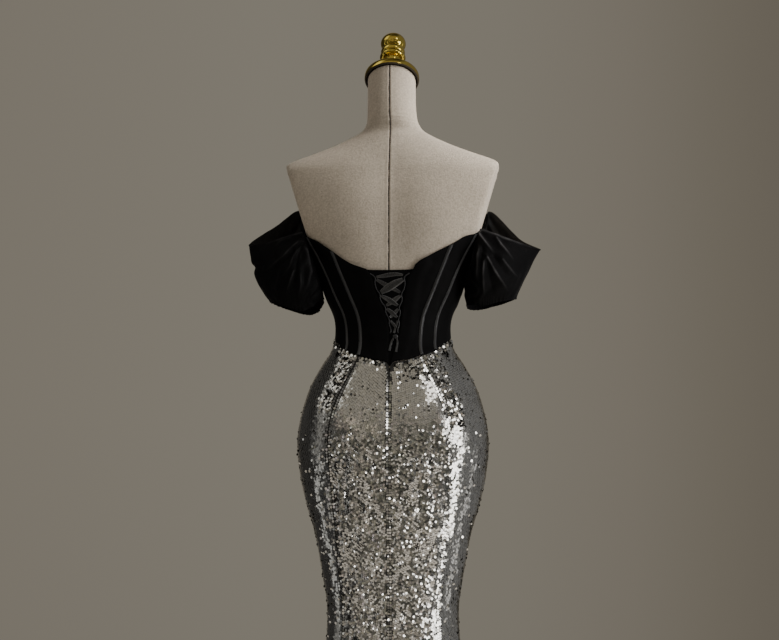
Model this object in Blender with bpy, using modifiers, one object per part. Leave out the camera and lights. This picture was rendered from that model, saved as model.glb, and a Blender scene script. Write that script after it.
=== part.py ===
"""An evening gown on a dress form, modelled at its real size in metres, +Z up.

A laced velvet bodice with draped off-the-shoulder sleeves, a sequined mermaid skirt down to the floor,
and the linen form, brass neck cap, pole and base that carry them. The gown's laced back faces -Y, its
front faces +Y, and the wearer's left is -X. The origin is the middle of the base's underside.

Cloth is built as walls on one figure: a surface given by an angle round the body (0 at the centre back,
90 degrees on the wearer's right) and a height. Every panel is a patch of it, moved out by its own amount.
"""

import math
from collections import namedtuple

import bmesh
import bpy
import numpy as np
from mathutils import Matrix, Vector

MM = 0.001

# Gaps and walls
SEAM = 0.3 * MM  # between neighbouring pieces
CLOTH_GAP = 0.9 * MM  # from the figure out to the cloth on it
FORM_INSET = 1.1 * MM  # from the figure in to the form, so that the cloth's flat facets clear it
VELVET = 1.8 * MM  # the bodice's and the sleeves' wall, lining and all
SEQUIN_CLOTH = 2.0 * MM  # the skirt's wall
INSERT_WALL = 1.0 * MM

# Heights
HEM = 0.012
FORM_FOOT = 0.800  # the torso's flat underside

# ---------------------------------------------------------------- the figure

Section = namedtuple("Section", "z half_width front back power")
FIGURE = [
    Section(0.000, 0.331, 0.320, 0.345, 2.00),
    Section(0.080, 0.297, 0.284, 0.305, 2.00),
    Section(0.160, 0.258, 0.242, 0.260, 2.00),
    Section(0.240, 0.218, 0.197, 0.211, 2.00),
    Section(0.320, 0.181, 0.154, 0.165, 2.05),
    Section(0.400, 0.149, 0.119, 0.127, 2.05),
    Section(0.480, 0.126, 0.092, 0.098, 2.10),
    Section(0.550, 0.116, 0.080, 0.085, 2.10),
    Section(0.620, 0.114, 0.079, 0.085, 2.15),
    Section(0.690, 0.125, 0.082, 0.091, 2.20),
    Section(0.745, 0.136, 0.086, 0.099, 2.20),
    Section(0.800, 0.152, 0.090, 0.108, 2.20),
    Section(0.850, 0.163, 0.094, 0.115, 2.20),
    Section(0.905, 0.168, 0.096, 0.118, 2.20),
    Section(0.955, 0.161, 0.095, 0.112, 2.20),
    Section(1.000, 0.147, 0.092, 0.100, 2.20),
    Section(1.040, 0.126, 0.087, 0.085, 2.20),
    Section(1.070, 0.107, 0.083, 0.075, 2.20),
    Section(1.100, 0.101, 0.081, 0.070, 2.20),
    Section(1.130, 0.104, 0.084, 0.071, 2.25),
    Section(1.165, 0.119, 0.092, 0.076, 2.30),
    Section(1.200, 0.132, 0.101, 0.082, 2.40),
    Section(1.235, 0.150, 0.106, 0.087, 2.40),
    Section(1.270, 0.175, 0.105, 0.090, 2.30),
    Section(1.310, 0.202, 0.093, 0.091, 2.20),
    Section(1.350, 0.222, 0.074, 0.088, 2.20),
    Section(1.385, 0.228, 0.057, 0.081, 2.20),
    Section(1.400, 0.216, 0.051, 0.076, 2.15),
    Section(1.415, 0.181, 0.047, 0.070, 2.10),
    Section(1.432, 0.134, 0.044, 0.062, 2.00),
    Section(1.450, 0.091, 0.045, 0.053, 2.00),
    Section(1.468, 0.059, 0.048, 0.044, 2.00),
]

# The arm plates cut the body's sides flat: how far out, at each height, and how softly their rims turn.
PLATES = [
    (1.050, 0.300), (1.120, 0.210), (1.165, 0.168), (1.200, 0.152), (1.235, 0.146), (1.270, 0.153),
    (1.310, 0.165), (1.350, 0.177), (1.385, 0.188), (1.400, 0.193), (1.415, 0.198), (1.468, 0.230),
]
PLATE_FOOT = PLATES[0][0]
PLATE_EDGE = 7 * MM

BUST_ACROSS, BUST_HEIGHT = 0.082, 1.248
BUST_RISE, BUST_WIDTH, BUST_TALL = 0.020, 0.046, 0.050

# The neck leans forward, and each of its rings leans with it.
NeckRing = namedtuple("NeckRing", "z radius depth aside centre lean")
NECK = [
    NeckRing(1.482, 0.0480, 0.0465, -0.0005, 0.003, 5),
    NeckRing(1.497, 0.0452, 0.0455, -0.0018, 0.006, 10),
    NeckRing(1.525, 0.0440, 0.0450, -0.0030, 0.013, 18),
    NeckRing(1.570, 0.0440, 0.0450, -0.0040, 0.027, 27),
]

SPLINE_STEPS = 24


def spline(rows):
    """A smooth curve through a table's rows: an array with SPLINE_STEPS points for each interval."""
    table = np.array(rows, float)
    first, last = 2 * table[0] - table[1], 2 * table[-1] - table[-2]
    padded = np.vstack([first, table, last])
    points = []
    for i in range(len(table) - 1):
        a, b, c, d = padded[i : i + 4]
        for t in np.arange(SPLINE_STEPS) / SPLINE_STEPS:
            points.append(
                b + 0.5 * t * (c - a + t * (2 * a - 5 * b + 4 * c - d + t * (3 * (b - c) + d - a)))
            )
    points.append(table[-1])
    return np.array(points)


def curve_through(rows):
    """A function that reads the second column of a table's spline at a value of its first."""
    points = spline(rows)
    return lambda value: float(np.interp(value, points[:, 0], points[:, 1]))


FIGURE_SPLINE = spline(FIGURE)
plate_at = curve_through(PLATES)


def section_at(z):
    heights = FIGURE_SPLINE[:, 0]
    return [float(np.interp(z, heights, FIGURE_SPLINE[:, k])) for k in range(1, len(Section._fields))]


def signed_power(value, exponent):
    return math.copysign(abs(value) ** exponent, value)


def softly_at_most(value, limit, softness):
    return 0.5 * (value + limit - math.hypot(value - limit, softness))


def smoothstep(value, low, high):
    t = min(1.0, max(0.0, (value - low) / (high - low)))
    return t * t * (3 - 2 * t)


def bust_rise(x, z):
    """How far the front stands out at the bust, on each side of the middle."""
    tall = math.exp(-0.5 * ((z - BUST_HEIGHT) / BUST_TALL) ** 2)
    wide = sum(math.exp(-0.5 * ((x - side * BUST_ACROSS) / BUST_WIDTH) ** 2) for side in (-1, 1))
    return BUST_RISE * tall * wide


def figure_point(angle, z):
    """The figure's surface. angle is 0 at the centre back and grows towards +X."""
    half_width, front, back, power = section_at(z)
    x = half_width * signed_power(math.sin(angle), 2 / power)
    if z > PLATE_FOOT:
        x = math.copysign(softly_at_most(abs(x), plate_at(z), PLATE_EDGE), x)
    turn = math.cos(angle)
    y = -(back if turn > 0 else front) * signed_power(turn, 2 / power)
    if turn < 0:
        y += bust_rise(x, z) * abs(turn)
    return Vector((x, y, z))


def angle_at(x, z):
    """The angle on the back half where the figure is x from the middle."""
    half_width, _, _, power = section_at(z)
    return math.copysign(math.asin(min(1.0, abs(x) / half_width) ** (power / 2)), x)


# ---------------------------------------------------------------- the skirt's surface

FLUTES = 8  # round folds at the hem, with a crest on every seam
FLUTE_TOP = 0.50
FLUTE_DEPTH = 15 * MM


def skirt_point(angle, z):
    """The figure, with the hem's flutes below the knee."""
    point = figure_point(angle, z)
    share = max(0.0, (FLUTE_TOP - z) / (FLUTE_TOP - HEM))
    depth = FLUTE_DEPTH * share**1.5 * (1 + 0.25 * math.cos(3 * angle + 0.6))
    radius = math.hypot(point.x, point.y)
    grown = 1 + depth * math.cos(FLUTES * angle) / radius
    return Vector((point.x * grown, point.y * grown, z))


# ---------------------------------------------------------------- points and walls

ANGLE_STEP, HEIGHT_STEP = math.radians(0.5), 1 * MM


def outward(surface, angle, z):
    """The surface's outward direction."""
    round_it = surface(angle + ANGLE_STEP, z) - surface(angle - ANGLE_STEP, z)
    up_it = surface(angle, z + HEIGHT_STEP) - surface(angle, z - HEIGHT_STEP)
    return round_it.cross(up_it).normalized()


def arc_angle(surface, angle, z, length):
    """The angle that a short length along the surface spans."""
    step = (surface(angle + ANGLE_STEP, z) - surface(angle - ANGLE_STEP, z)).length
    return 2 * ANGLE_STEP * length / step


def new_object(name, mesh, material):
    thing = bpy.data.objects.new(name, mesh)
    mesh.materials.append(material)
    PARTS.objects.link(thing)
    return thing


def wall(name, inside, outside, material):
    """A closed wall between two grids of points with the same rows and columns."""
    rows, columns = len(inside), len(inside[0])
    shape = bmesh.new()
    inner = [[shape.verts.new(p) for p in row] for row in inside]
    outer = [[shape.verts.new(p) for p in row] for row in outside]
    for i in range(rows - 1):
        for j in range(columns - 1):
            shape.faces.new((outer[i][j], outer[i][j + 1], outer[i + 1][j + 1], outer[i + 1][j]))
            shape.faces.new((inner[i][j], inner[i + 1][j], inner[i + 1][j + 1], inner[i][j + 1]))
    border = [(0, j) for j in range(columns)] + [(i, columns - 1) for i in range(1, rows)]
    border += [(rows - 1, j) for j in range(columns - 2, -1, -1)]
    border += [(i, 0) for i in range(rows - 2, 0, -1)]
    for (i, j), (k, m) in zip(border, border[1:] + border[:1]):
        shape.faces.new((outer[i][j], inner[i][j], inner[k][m], outer[k][m]))
    bmesh.ops.recalc_face_normals(shape, faces=shape.faces[:])
    return finish_mesh(name, shape, material)


def tube(name, inside, outside, material):
    """A closed wall round a tube that is open at both ends; its grids' rows close on themselves."""
    rows, columns = len(inside), len(inside[0])
    shape = bmesh.new()
    inner = [[shape.verts.new(p) for p in row] for row in inside]
    outer = [[shape.verts.new(p) for p in row] for row in outside]
    for j in range(columns):
        k = (j + 1) % columns
        for i in range(rows - 1):
            shape.faces.new((outer[i][j], outer[i][k], outer[i + 1][k], outer[i + 1][j]))
            shape.faces.new((inner[i][j], inner[i + 1][j], inner[i + 1][k], inner[i][k]))
        for i in (0, rows - 1):
            shape.faces.new((outer[i][j], inner[i][j], inner[i][k], outer[i][k]))
    bmesh.ops.recalc_face_normals(shape, faces=shape.faces[:])
    return finish_mesh(name, shape, material)


SHARP = math.radians(50)


def finish_mesh(name, shape, material):
    mesh = bpy.data.meshes.new(name)
    shape.to_mesh(mesh)
    shape.free()
    mesh.shade_smooth()
    mesh.set_sharp_from_angle(angle=SHARP)
    return new_object(name, mesh, material)


def loft(name, rings, material):
    """A closed solid through rings of points, lowest first, with flat ends."""
    shape = bmesh.new()
    loops = [[shape.verts.new(p) for p in ring] for ring in rings]
    count = len(loops[0])
    for low, high in zip(loops, loops[1:]):
        for j in range(count):
            k = (j + 1) % count
            shape.faces.new((low[j], low[k], high[k], high[j]))
    shape.faces.new(loops[0][::-1])
    shape.faces.new(loops[-1])
    bmesh.ops.recalc_face_normals(shape, faces=shape.faces[:])
    return finish_mesh(name, shape, material)


def turned(name, profile, steps, material, matrix=None):
    """A turned solid: its profile as (radius, height) from the top of the axis down, on a Screw."""
    mesh = bpy.data.meshes.new(name)
    points = [(radius, 0, height) for radius, height in profile]
    mesh.from_pydata(points, [(i, i + 1) for i in range(len(points) - 1)], [])
    thing = new_object(name, mesh, material)
    screw = thing.modifiers.new("turn", "SCREW")
    screw.steps = screw.render_steps = steps
    screw.use_merge_vertices = True
    screw.merge_threshold = 0.01 * MM
    screw.use_smooth_shade = True
    if matrix is not None:
        thing.matrix_world = matrix
    return thing


def material_of(name, colour, roughness, metallic=0.0):
    material = bpy.data.materials.new(name)
    material.use_nodes = True
    shader = material.node_tree.nodes["Principled BSDF"]
    shader.inputs["Base Color"].default_value = (*colour, 1)
    shader.inputs["Roughness"].default_value = roughness
    shader.inputs["Metallic"].default_value = metallic
    return material


# ---------------------------------------------------------------- the dress form

FORM_RING = 36
FORM_HEIGHTS = [FORM_FOOT, 0.802, 0.812, 0.850, 0.905, 0.955, 1.000, 1.035, 1.060, 1.080, 1.100]
FORM_HEIGHTS += [1.120, 1.140, 1.165, 1.195, 1.220, 1.240, 1.260, 1.290, 1.320, 1.350, 1.375, 1.392]
FORM_HEIGHTS += [1.404, 1.413, 1.424, 1.438, 1.453, 1.468]
FOOT_ROUNDING = {FORM_FOOT: 0.955, 0.802: 0.978, 0.812: 0.993}


def form_ring(z):
    share = FOOT_ROUNDING.get(z, 1.0)
    points = []
    for k in range(FORM_RING):
        angle = 2 * math.pi * k / FORM_RING
        point = figure_point(angle, z) - outward(figure_point, angle, z) * FORM_INSET
        points.append(Vector((point.x * share, point.y * share, z)))
    return points


def neck_ring(ring):
    lean = math.radians(ring.lean)
    points = []
    for k in range(FORM_RING):
        angle = 2 * math.pi * k / FORM_RING
        across, along = ring.radius * math.sin(angle), -ring.depth * math.cos(angle)
        forward, down = along * math.cos(lean), along * math.sin(lean)
        points.append(Vector((ring.aside + across, ring.centre + forward, ring.z - down)))
    return points


def on_the_neck(rise):
    """The cap's frame, rise above the neck's cut top, with +Z along the neck's lean."""
    top = Vector((NECK[-1].aside, NECK[-1].centre, NECK[-1].z))
    turn = Matrix.Rotation(math.radians(-NECK[-1].lean), 4, "X")
    return Matrix.Translation(top) @ turn @ Matrix.Translation((0, 0, rise))


CAP_RADIUS, CAP_TALL, CAP_RISE = 0.0505, 17 * MM, 8 * MM
CAP_EDGE = 5 * MM  # how far the rim's rounded edge reaches out
CAP_SEAT, CAP_LIP, CAP_RECESS = 0.042, 0.0475, 5 * MM  # it rests on the seat, inside a ring-shaped recess
CAP_STEPS = 6
Lobe = namedtuple("Lobe", "middle radius half foot")  # foot: the groove's radius below it
FINIAL_LOBES = [
    Lobe(67.0 * MM, 23.5 * MM, 19.5 * MM, 18.5 * MM),
    Lobe(45.5 * MM, 22.5 * MM, 6.5 * MM, 19.0 * MM),
    Lobe(32.5 * MM, 24.0 * MM, 6.0 * MM, 15.0 * MM),
]
FINIAL_STEM = [(13 * MM, 23 * MM), (13 * MM, 15 * MM), (19 * MM, 6 * MM), (19 * MM, 1 * MM), (18 * MM, 0.0)]


def cap_profile():
    profile = [(0.0, CAP_TALL + CAP_RISE), (0.020, CAP_TALL + CAP_RISE), (0.033, CAP_TALL + CAP_RISE / 3)]
    flat, half = CAP_RADIUS - CAP_EDGE, CAP_TALL / 2
    for k in range(CAP_STEPS):
        turn = math.pi * k / CAP_STEPS
        profile.append((flat + CAP_EDGE * math.sin(turn), half + half * math.cos(turn)))
    profile += [(CAP_LIP + 1 * MM, 0.0), (CAP_LIP, 0.0), (CAP_LIP, CAP_RECESS), (CAP_SEAT, CAP_RECESS)]
    return profile + [(CAP_SEAT, 0.0), (0.0, 0.0)]


def finial_profile():
    """The finial's outline down its axis: a ball, two beads and a stem."""
    ball, *beads = FINIAL_LOBES
    profile = [(ball.radius * math.sin(turn), ball.middle + ball.half * math.cos(turn))
               for turn in (0, 0.35, 0.75, 1.15, 1.57, 1.95, 2.25)]
    above = ball.foot
    for bead in beads:
        for k, turn in enumerate((0.0, 0.8, 1.57, 2.3, 3.14)):
            groove = above if k < 3 else bead.foot
            reach = groove + (bead.radius - groove) * math.sin(turn)
            profile.append((reach, bead.middle + bead.half * math.cos(turn)))
        above = bead.foot
    return profile + FINIAL_STEM + [(0.0, 0.0)]


POLE_RADIUS, POLE_PLATE = 14 * MM, 45 * MM
HUB_RADIUS, HUB_TOP = 24 * MM, 60 * MM
BASE_RADIUS, BASE_EDGE = 170 * MM, 9 * MM


def dress_form(linen, brass, black_metal):
    rings = [form_ring(z) for z in FORM_HEIGHTS] + [neck_ring(ring) for ring in NECK]
    loft("form_torso", rings, linen)
    turned("form_neck_cap", cap_profile(), 28, brass, on_the_neck(SEAM))
    turned("form_finial", finial_profile(), 16, brass, on_the_neck(CAP_TALL + CAP_RISE + 2 * SEAM))
    pole_top = FORM_FOOT - SEAM
    pole = [(0.0, pole_top), (POLE_PLATE, pole_top), (POLE_PLATE, pole_top - 5 * MM)]
    pole += [(POLE_RADIUS + 4 * MM, pole_top - 9 * MM), (POLE_RADIUS, pole_top - 14 * MM)]
    pole += [(POLE_RADIUS, HUB_TOP + SEAM), (0.0, HUB_TOP + SEAM)]
    turned("form_pole", pole, 16, black_metal)
    base = [(0.0, HUB_TOP), (HUB_RADIUS - 3 * MM, HUB_TOP), (HUB_RADIUS, HUB_TOP - 3 * MM)]
    base += [(HUB_RADIUS + 3 * MM, 30 * MM), (55 * MM, 22 * MM), (BASE_RADIUS - 5 * MM, BASE_EDGE)]
    base += [(BASE_RADIUS, BASE_EDGE - 4 * MM), (BASE_RADIUS, 1 * MM), (BASE_RADIUS - 1 * MM, 0.0)]
    base.append((0.0, 0.0))
    turned("form_base", base, 32, black_metal)


# ---------------------------------------------------------------- seams and edges

# Where a seam runs: its angle in degrees at each height.
BACK_SEAM = curve_through([
    (1.030, 25.0), (1.063, 26.5), (1.095, 29.0), (1.120, 30.5), (1.167, 34.4), (1.206, 37.4), (1.240, 38.5),
])
SIDE_BACK_SEAM = curve_through([
    (1.030, 42.5), (1.070, 44.0), (1.090, 46.8), (1.119, 49.5), (1.152, 52.0), (1.187, 55.0), (1.225, 57.0),
    (1.265, 57.5),
])
SIDE_SEAM = curve_through([(1.030, 88.0), (1.300, 90.0)])
FRONT_SEAM = curve_through([
    (1.030, 152.0), (1.120, 150.0), (1.200, 143.0), (1.250, 138.5), (1.330, 139.0),
])
SKIRT_BACK_SEAM = curve_through([
    (0.000, 45.0), (0.600, 45.0), (0.730, 41.5), (0.830, 37.0), (0.930, 36.5), (0.967, 34.5), (0.995, 31.5),
    (1.023, 27.7), (1.055, 25.0),
])
SKIRT_FRONT_SEAM = curve_through([
    (0.000, 135.0), (0.600, 135.0), (0.850, 138.0), (0.950, 141.0), (1.090, 151.0),
])

# Heights at an angle in degrees from the centre back: where the bodice meets the skirt, and the
# bodice's top edge, which dips under the arms.
WAIST_EDGE = curve_through([
    (0, 1.0330), (3, 1.0415), (11, 1.0445), (21, 1.0505), (33, 1.0565), (50, 1.0675), (64, 1.0790),
    (90, 1.0890), (120, 1.0885), (150, 1.0800), (180, 1.0700),
])
FRONT_TOP = [
    (66, 1.278), (78, 1.258), (90, 1.236), (102, 1.252), (114, 1.296), (124, 1.324), (138, 1.322),
    (158, 1.306), (180, 1.286),
]
LEFT_TOP = [(0, 1.206), (12, 1.207), (18, 1.211), (28, 1.2215), (40, 1.2445), (48, 1.260), (56, 1.269)]
RIGHT_TOP = [(0, 1.206), (12, 1.210), (18, 1.222), (28, 1.2365), (40, 1.2535), (47, 1.266), (56, 1.272)]
TOP_EDGES = {"left": curve_through(LEFT_TOP + FRONT_TOP), "right": curve_through(RIGHT_TOP + FRONT_TOP)}
SIDES = {"left": -1, "right": 1}

# Half the width of the laced opening at each height.
OPENING = curve_through([
    (1.030, 0.0010), (1.045, 0.0026), (1.062, 0.0048), (1.080, 0.0068), (1.101, 0.0094), (1.122, 0.0128),
    (1.143, 0.0178), (1.165, 0.0250), (1.180, 0.0285), (1.193, 0.0315), (1.203, 0.0385), (1.215, 0.0450),
])
# How far its middle is pulled towards the wearer's right, where the lacing is tighter.
OPENING_ASIDE = curve_through([
    (1.030, 0.0), (1.050, 0.0010), (1.070, 0.0038), (1.098, 0.0072), (1.122, 0.0060), (1.143, 0.0034),
    (1.165, 0.0010), (1.190, 0.0), (1.215, 0.0),
])

UNDERLAP = 14 * MM  # of the insert behind each back panel, and of the zip's tape behind the skirt
LIFT = INSERT_WALL + 1.0 * MM  # the panels rise over the insert and the tape by this much
LIFT_EASE = 16 * MM
ZIP_FOOT, ZIP_TOP = 1.004, 1.0315
SLIT_FOOT, SLIT_HALF = 1.016, 1.6 * MM


def seam_angle(seam):
    """A seam's angle in radians at a height, on the wearer's right."""
    return lambda z: math.radians(seam(z))


def over_the_front(seam):
    """The same seam on the wearer's left, reached round the front."""
    return lambda z: 2 * math.pi - math.radians(seam(z))


def edge_height(edge, rise=0.0):
    """An edge's height at an angle, which may run on past the centre front."""
    return lambda angle: edge(180 - abs(180 - abs(math.degrees(angle)))) + rise


def level_edge(z):
    return lambda angle: z


def opening_edge(side):
    """The edge of a bodice back, beside the laced opening; side is 1 on the wearer's right."""
    return lambda z: angle_at(OPENING(z) + side * OPENING_ASIDE(z), z)


def insert_half(z):
    return OPENING(z) + OPENING_ASIDE(z) + UNDERLAP


def slit_angle(z):
    """The edge of a skirt back: the closed seam, and over it the zip's slit, open at the waist."""
    return angle_at(SLIT_HALF * smoothstep(z, SLIT_FOOT - 6 * MM, SLIT_FOOT + 16 * MM) + 0.01 * MM, z)


def bodice_gap(angle, z):
    """How far the bodice's inner face is from the figure."""
    beyond = abs(figure_point(angle, z).x) - insert_half(z) - 1 * MM
    lift = LIFT * (1 - smoothstep(beyond, 0, LIFT_EASE)) if math.cos(angle) > 0 else 0
    return CLOTH_GAP + lift


def skirt_gap(angle, z):
    """How far the skirt's inner face is from the figure: further over the zip's tape."""
    beyond = abs(figure_point(angle, z).x) - UNDERLAP / 2 - 1 * MM
    near_the_zip = 1 - smoothstep(beyond, 0, LIFT_EASE)
    near_the_zip *= smoothstep(z, ZIP_FOOT - 55 * MM, ZIP_FOOT - 10 * MM)
    return CLOTH_GAP + (LIFT * near_the_zip if math.cos(angle) > 0 else 0)


def patch(surface, left, right, lower, upper, columns, shares):
    """(angle, height) for a grid between two seams, which give an angle at a height, and two edges,
    which give a height at an angle. shares are the rows' places, from the lower edge at 0 to 1."""
    grid = []
    for share in shares:
        row = []
        for j in range(columns + 1):
            across = j / columns
            angle = 0.5 * (left(1.1) + right(1.1))
            for _ in range(12):
                z = (1 - share) * lower(angle) + share * upper(angle)
                inset = arc_angle(surface, angle, z, SEAM / 2)
                angle = (1 - across) * (left(z) + inset) + across * (right(z) - inset)
            row.append((angle, z))
        grid.append(row)
    return grid


def moved_out(surface, grid, distance):
    """A grid's points, moved out from the surface by a distance that depends on angle and height."""
    return [[surface(a, z) + outward(surface, a, z) * distance(a, z) for a, z in row] for row in grid]


def cloth(surface, grid, gap, thick):
    """The inner and outer points of a cloth wall."""
    return moved_out(surface, grid, gap), moved_out(surface, grid, lambda a, z: gap(a, z) + thick)


def mirrored(points):
    return [[Vector((-p.x, p.y, p.z)) for p in row] for row in points]


def on_side(name, side, inside, outside, material):
    """A wall whose points are given for the wearer's right (+X), on that side or mirrored to the left."""
    if SIDES[side] < 0:
        inside, outside = mirrored(inside), mirrored(outside)
    wall(f"{name}_{side}", inside, outside, material)


def even(count):
    return [k / count for k in range(count + 1)]


# ---------------------------------------------------------------- the bodice

BODICE_ROWS = 10
CHANNEL_ROWS = 12
CHANNEL_RISE, CHANNEL_EDGE = 1.7 * MM, 0.7 * MM
WAIST_GAP = 1.0 * MM  # between the bodice and the skirt, over both edges' facets


def bodice_panel(left, right, top, columns):
    lower, upper = edge_height(WAIST_EDGE, WAIST_GAP / 2), edge_height(top)
    grid = patch(figure_point, left, right, lower, upper, columns, even(BODICE_ROWS))
    return cloth(figure_point, grid, bodice_gap, VELVET)


def bodice(velvet):
    back, side_back = seam_angle(BACK_SEAM), seam_angle(SIDE_BACK_SEAM)
    middle, front = seam_angle(SIDE_SEAM), seam_angle(FRONT_SEAM)
    for side, top in TOP_EDGES.items():
        opening = opening_edge(SIDES[side])
        on_side("bodice_back", side, *bodice_panel(opening, back, top, 6), velvet)
        on_side("bodice_side_back", side, *bodice_panel(back, side_back, top, 3), velvet)
        on_side("bodice_side", side, *bodice_panel(side_back, middle, top, 6), velvet)
        on_side("bodice_side_front", side, *bodice_panel(middle, front, top, 8), velvet)
    across = bodice_panel(front, over_the_front(FRONT_SEAM), TOP_EDGES["left"], 12)
    wall("bodice_front", *across, velvet)


def back_insert(velvet):
    """The modesty insert behind the lacing, which underlaps both back panels."""
    lower, upper = edge_height(WAIST_EDGE, 1.2 * MM), edge_height(TOP_EDGES["left"], -1.5 * MM)
    reach = lambda z: angle_at(insert_half(z), z)
    grid = patch(figure_point, lambda z: -reach(z), reach, lower, upper, 8, even(14))
    wall("back_insert", *cloth(figure_point, grid, lambda a, z: CLOTH_GAP, INSERT_WALL), velvet)


def channel(seam, top, width):
    """A boning channel's points: a strip along a seam, rounded by the boning in it."""
    low_edge, top_edge = edge_height(WAIST_EDGE, 1.5 * MM), edge_height(top, -1 * MM)
    grid = []
    for share in even(CHANNEL_ROWS):
        middle = math.radians(seam(1.1))
        for _ in range(12):
            z = (1 - share) * low_edge(middle) + share * top_edge(middle)
            middle = math.radians(seam(z))
        half = arc_angle(figure_point, middle, z, width / 2)
        grid.append([(middle + across * half, z) for across in (-1, -0.45, 0.45, 1)])
    inside = moved_out(figure_point, grid, lambda a, z: bodice_gap(a, z) + VELVET + 0.8 * MM)
    heights = (CHANNEL_EDGE, CHANNEL_RISE, CHANNEL_RISE, CHANNEL_EDGE)
    outside = [
        [p + outward(figure_point, a, z) * rise for p, (a, z), rise in zip(points, row, heights)]
        for points, row in zip(inside, grid)
    ]
    return inside, outside


def boning_channels(satin):
    for side, top in TOP_EDGES.items():
        on_side("channel_inner", side, *channel(BACK_SEAM, top, 6.5 * MM), satin)
        on_side("channel_outer", side, *channel(SIDE_BACK_SEAM, top, 5.5 * MM), satin)


# ---------------------------------------------------------------- the lacing

LOOP_HEIGHTS = [1.191, 1.163, 1.140, 1.119, 1.100]
LOOP_CORD = 1.0 * MM  # the cord's radius
LOOP_HALF = 6.5 * MM  # half a loop's height, along the edge
LOOP_LEVEL = CLOTH_GAP + LIFT + VELVET / 2  # of the cord's middle, over the figure
LOOP_STEPS = 6
LACE_WALL = 0.6 * MM
LACE_AT_LOOP = 3.6 * MM  # the ribbon's width where it is gathered
LACE_CLEAR = 0.6 * MM  # of each stretch over what it crosses
LACE_LOW = CLOTH_GAP + INSERT_WALL + LACE_CLEAR  # a stretch that passes under another
LACE_HIGH = LACE_LOW + LACE_WALL + LACE_CLEAR
LOOP_CLEAR = 2.4 * MM  # from a loop's cord to the middle of a slanting stretch's end
LACE_SPLIT = 2.8 * MM  # how far above and below a loop's middle the two stretches at it end
LACE_ROWS = 8


def back_point(x, z, level):
    """A point on the back, x from the middle and level out from the figure."""
    angle = angle_at(x, z)
    return figure_point(angle, z) + outward(figure_point, angle, z) * level


def loop_reach(z):
    """How far a loop's cord stands out from its panel's edge, into the opening."""
    return LOOP_CORD + SEAM + min(4.0 * MM, 0.2 * OPENING(z))


def round_cord(name, points, radius, material):
    """A cord with its ends cut flat: a curve with a bevel."""
    line = bpy.data.curves.new(name, "CURVE")
    line.dimensions = "3D"
    line.bevel_depth = radius
    line.bevel_resolution = 0
    line.use_fill_caps = True
    path = line.splines.new("POLY")
    path.points.add(len(points) - 1)
    for spot, point in zip(path.points, points):
        spot.co = (*point, 1)
    return new_object(name, line, material)


def loops(satin):
    """A cord along each edge of the opening, which stands out in a loop at each row of the lacing."""
    for name, side in SIDES.items():
        points = []
        for middle in LOOP_HEIGHTS:
            foot = LOOP_CORD + 2 * SEAM
            for k in range(LOOP_STEPS + 1):
                along = 1 - 2 * k / LOOP_STEPS
                z = middle + along * LOOP_HALF
                stand = foot + (loop_reach(middle) - foot) * math.sqrt(max(0, 1 - along**2))
                x = side * (OPENING(z) - stand) + OPENING_ASIDE(z)
                points.append(back_point(x, z, LOOP_LEVEL))
        round_cord(f"loops_{name}", points, LOOP_CORD, satin)


def lace_strip(name, start, end, middle_level, wide, satin):
    """A stretch of the ribbon from one (x, z) to another, level with the loops at both ends."""
    run = Vector((end[0] - start[0], end[1] - start[1]))
    side = Vector((-run.y, run.x)).normalized()
    inside, outside = [], []
    for share in even(LACE_ROWS):
        rise = 1 - smoothstep(min(share, 1 - share), 0, 0.22)
        level = middle_level + (LOOP_LEVEL - LACE_WALL / 2 - middle_level) * rise
        half = 0.5 * (wide + (LACE_AT_LOOP - wide) * rise)
        centre = Vector(start) + run * share
        ends = [centre + side * half, centre - side * half]
        inside.append([back_point(x, z, level) for x, z in ends])
        outside.append([back_point(x, z, level + LACE_WALL) for x, z in ends])
    wall(name, inside, outside, satin)


def loop_inner(side, row, above):
    """Where a stretch ends at a loop: at its inner side, above or below its middle."""
    z = LOOP_HEIGHTS[row] + (LACE_SPLIT if above else -LACE_SPLIT)
    reach = loop_reach(LOOP_HEIGHTS[row]) + LOOP_CORD + LOOP_CLEAR
    return side * (OPENING(LOOP_HEIGHTS[row]) - reach) + OPENING_ASIDE(z), z


TAIL_WIDE = 4.6 * MM
KNOT = (9.2 * MM, 1.0865)
KNOT_SIZE = (5.0 * MM, 1.6 * MM, 3.8 * MM)  # half its width, thickness and height


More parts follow.
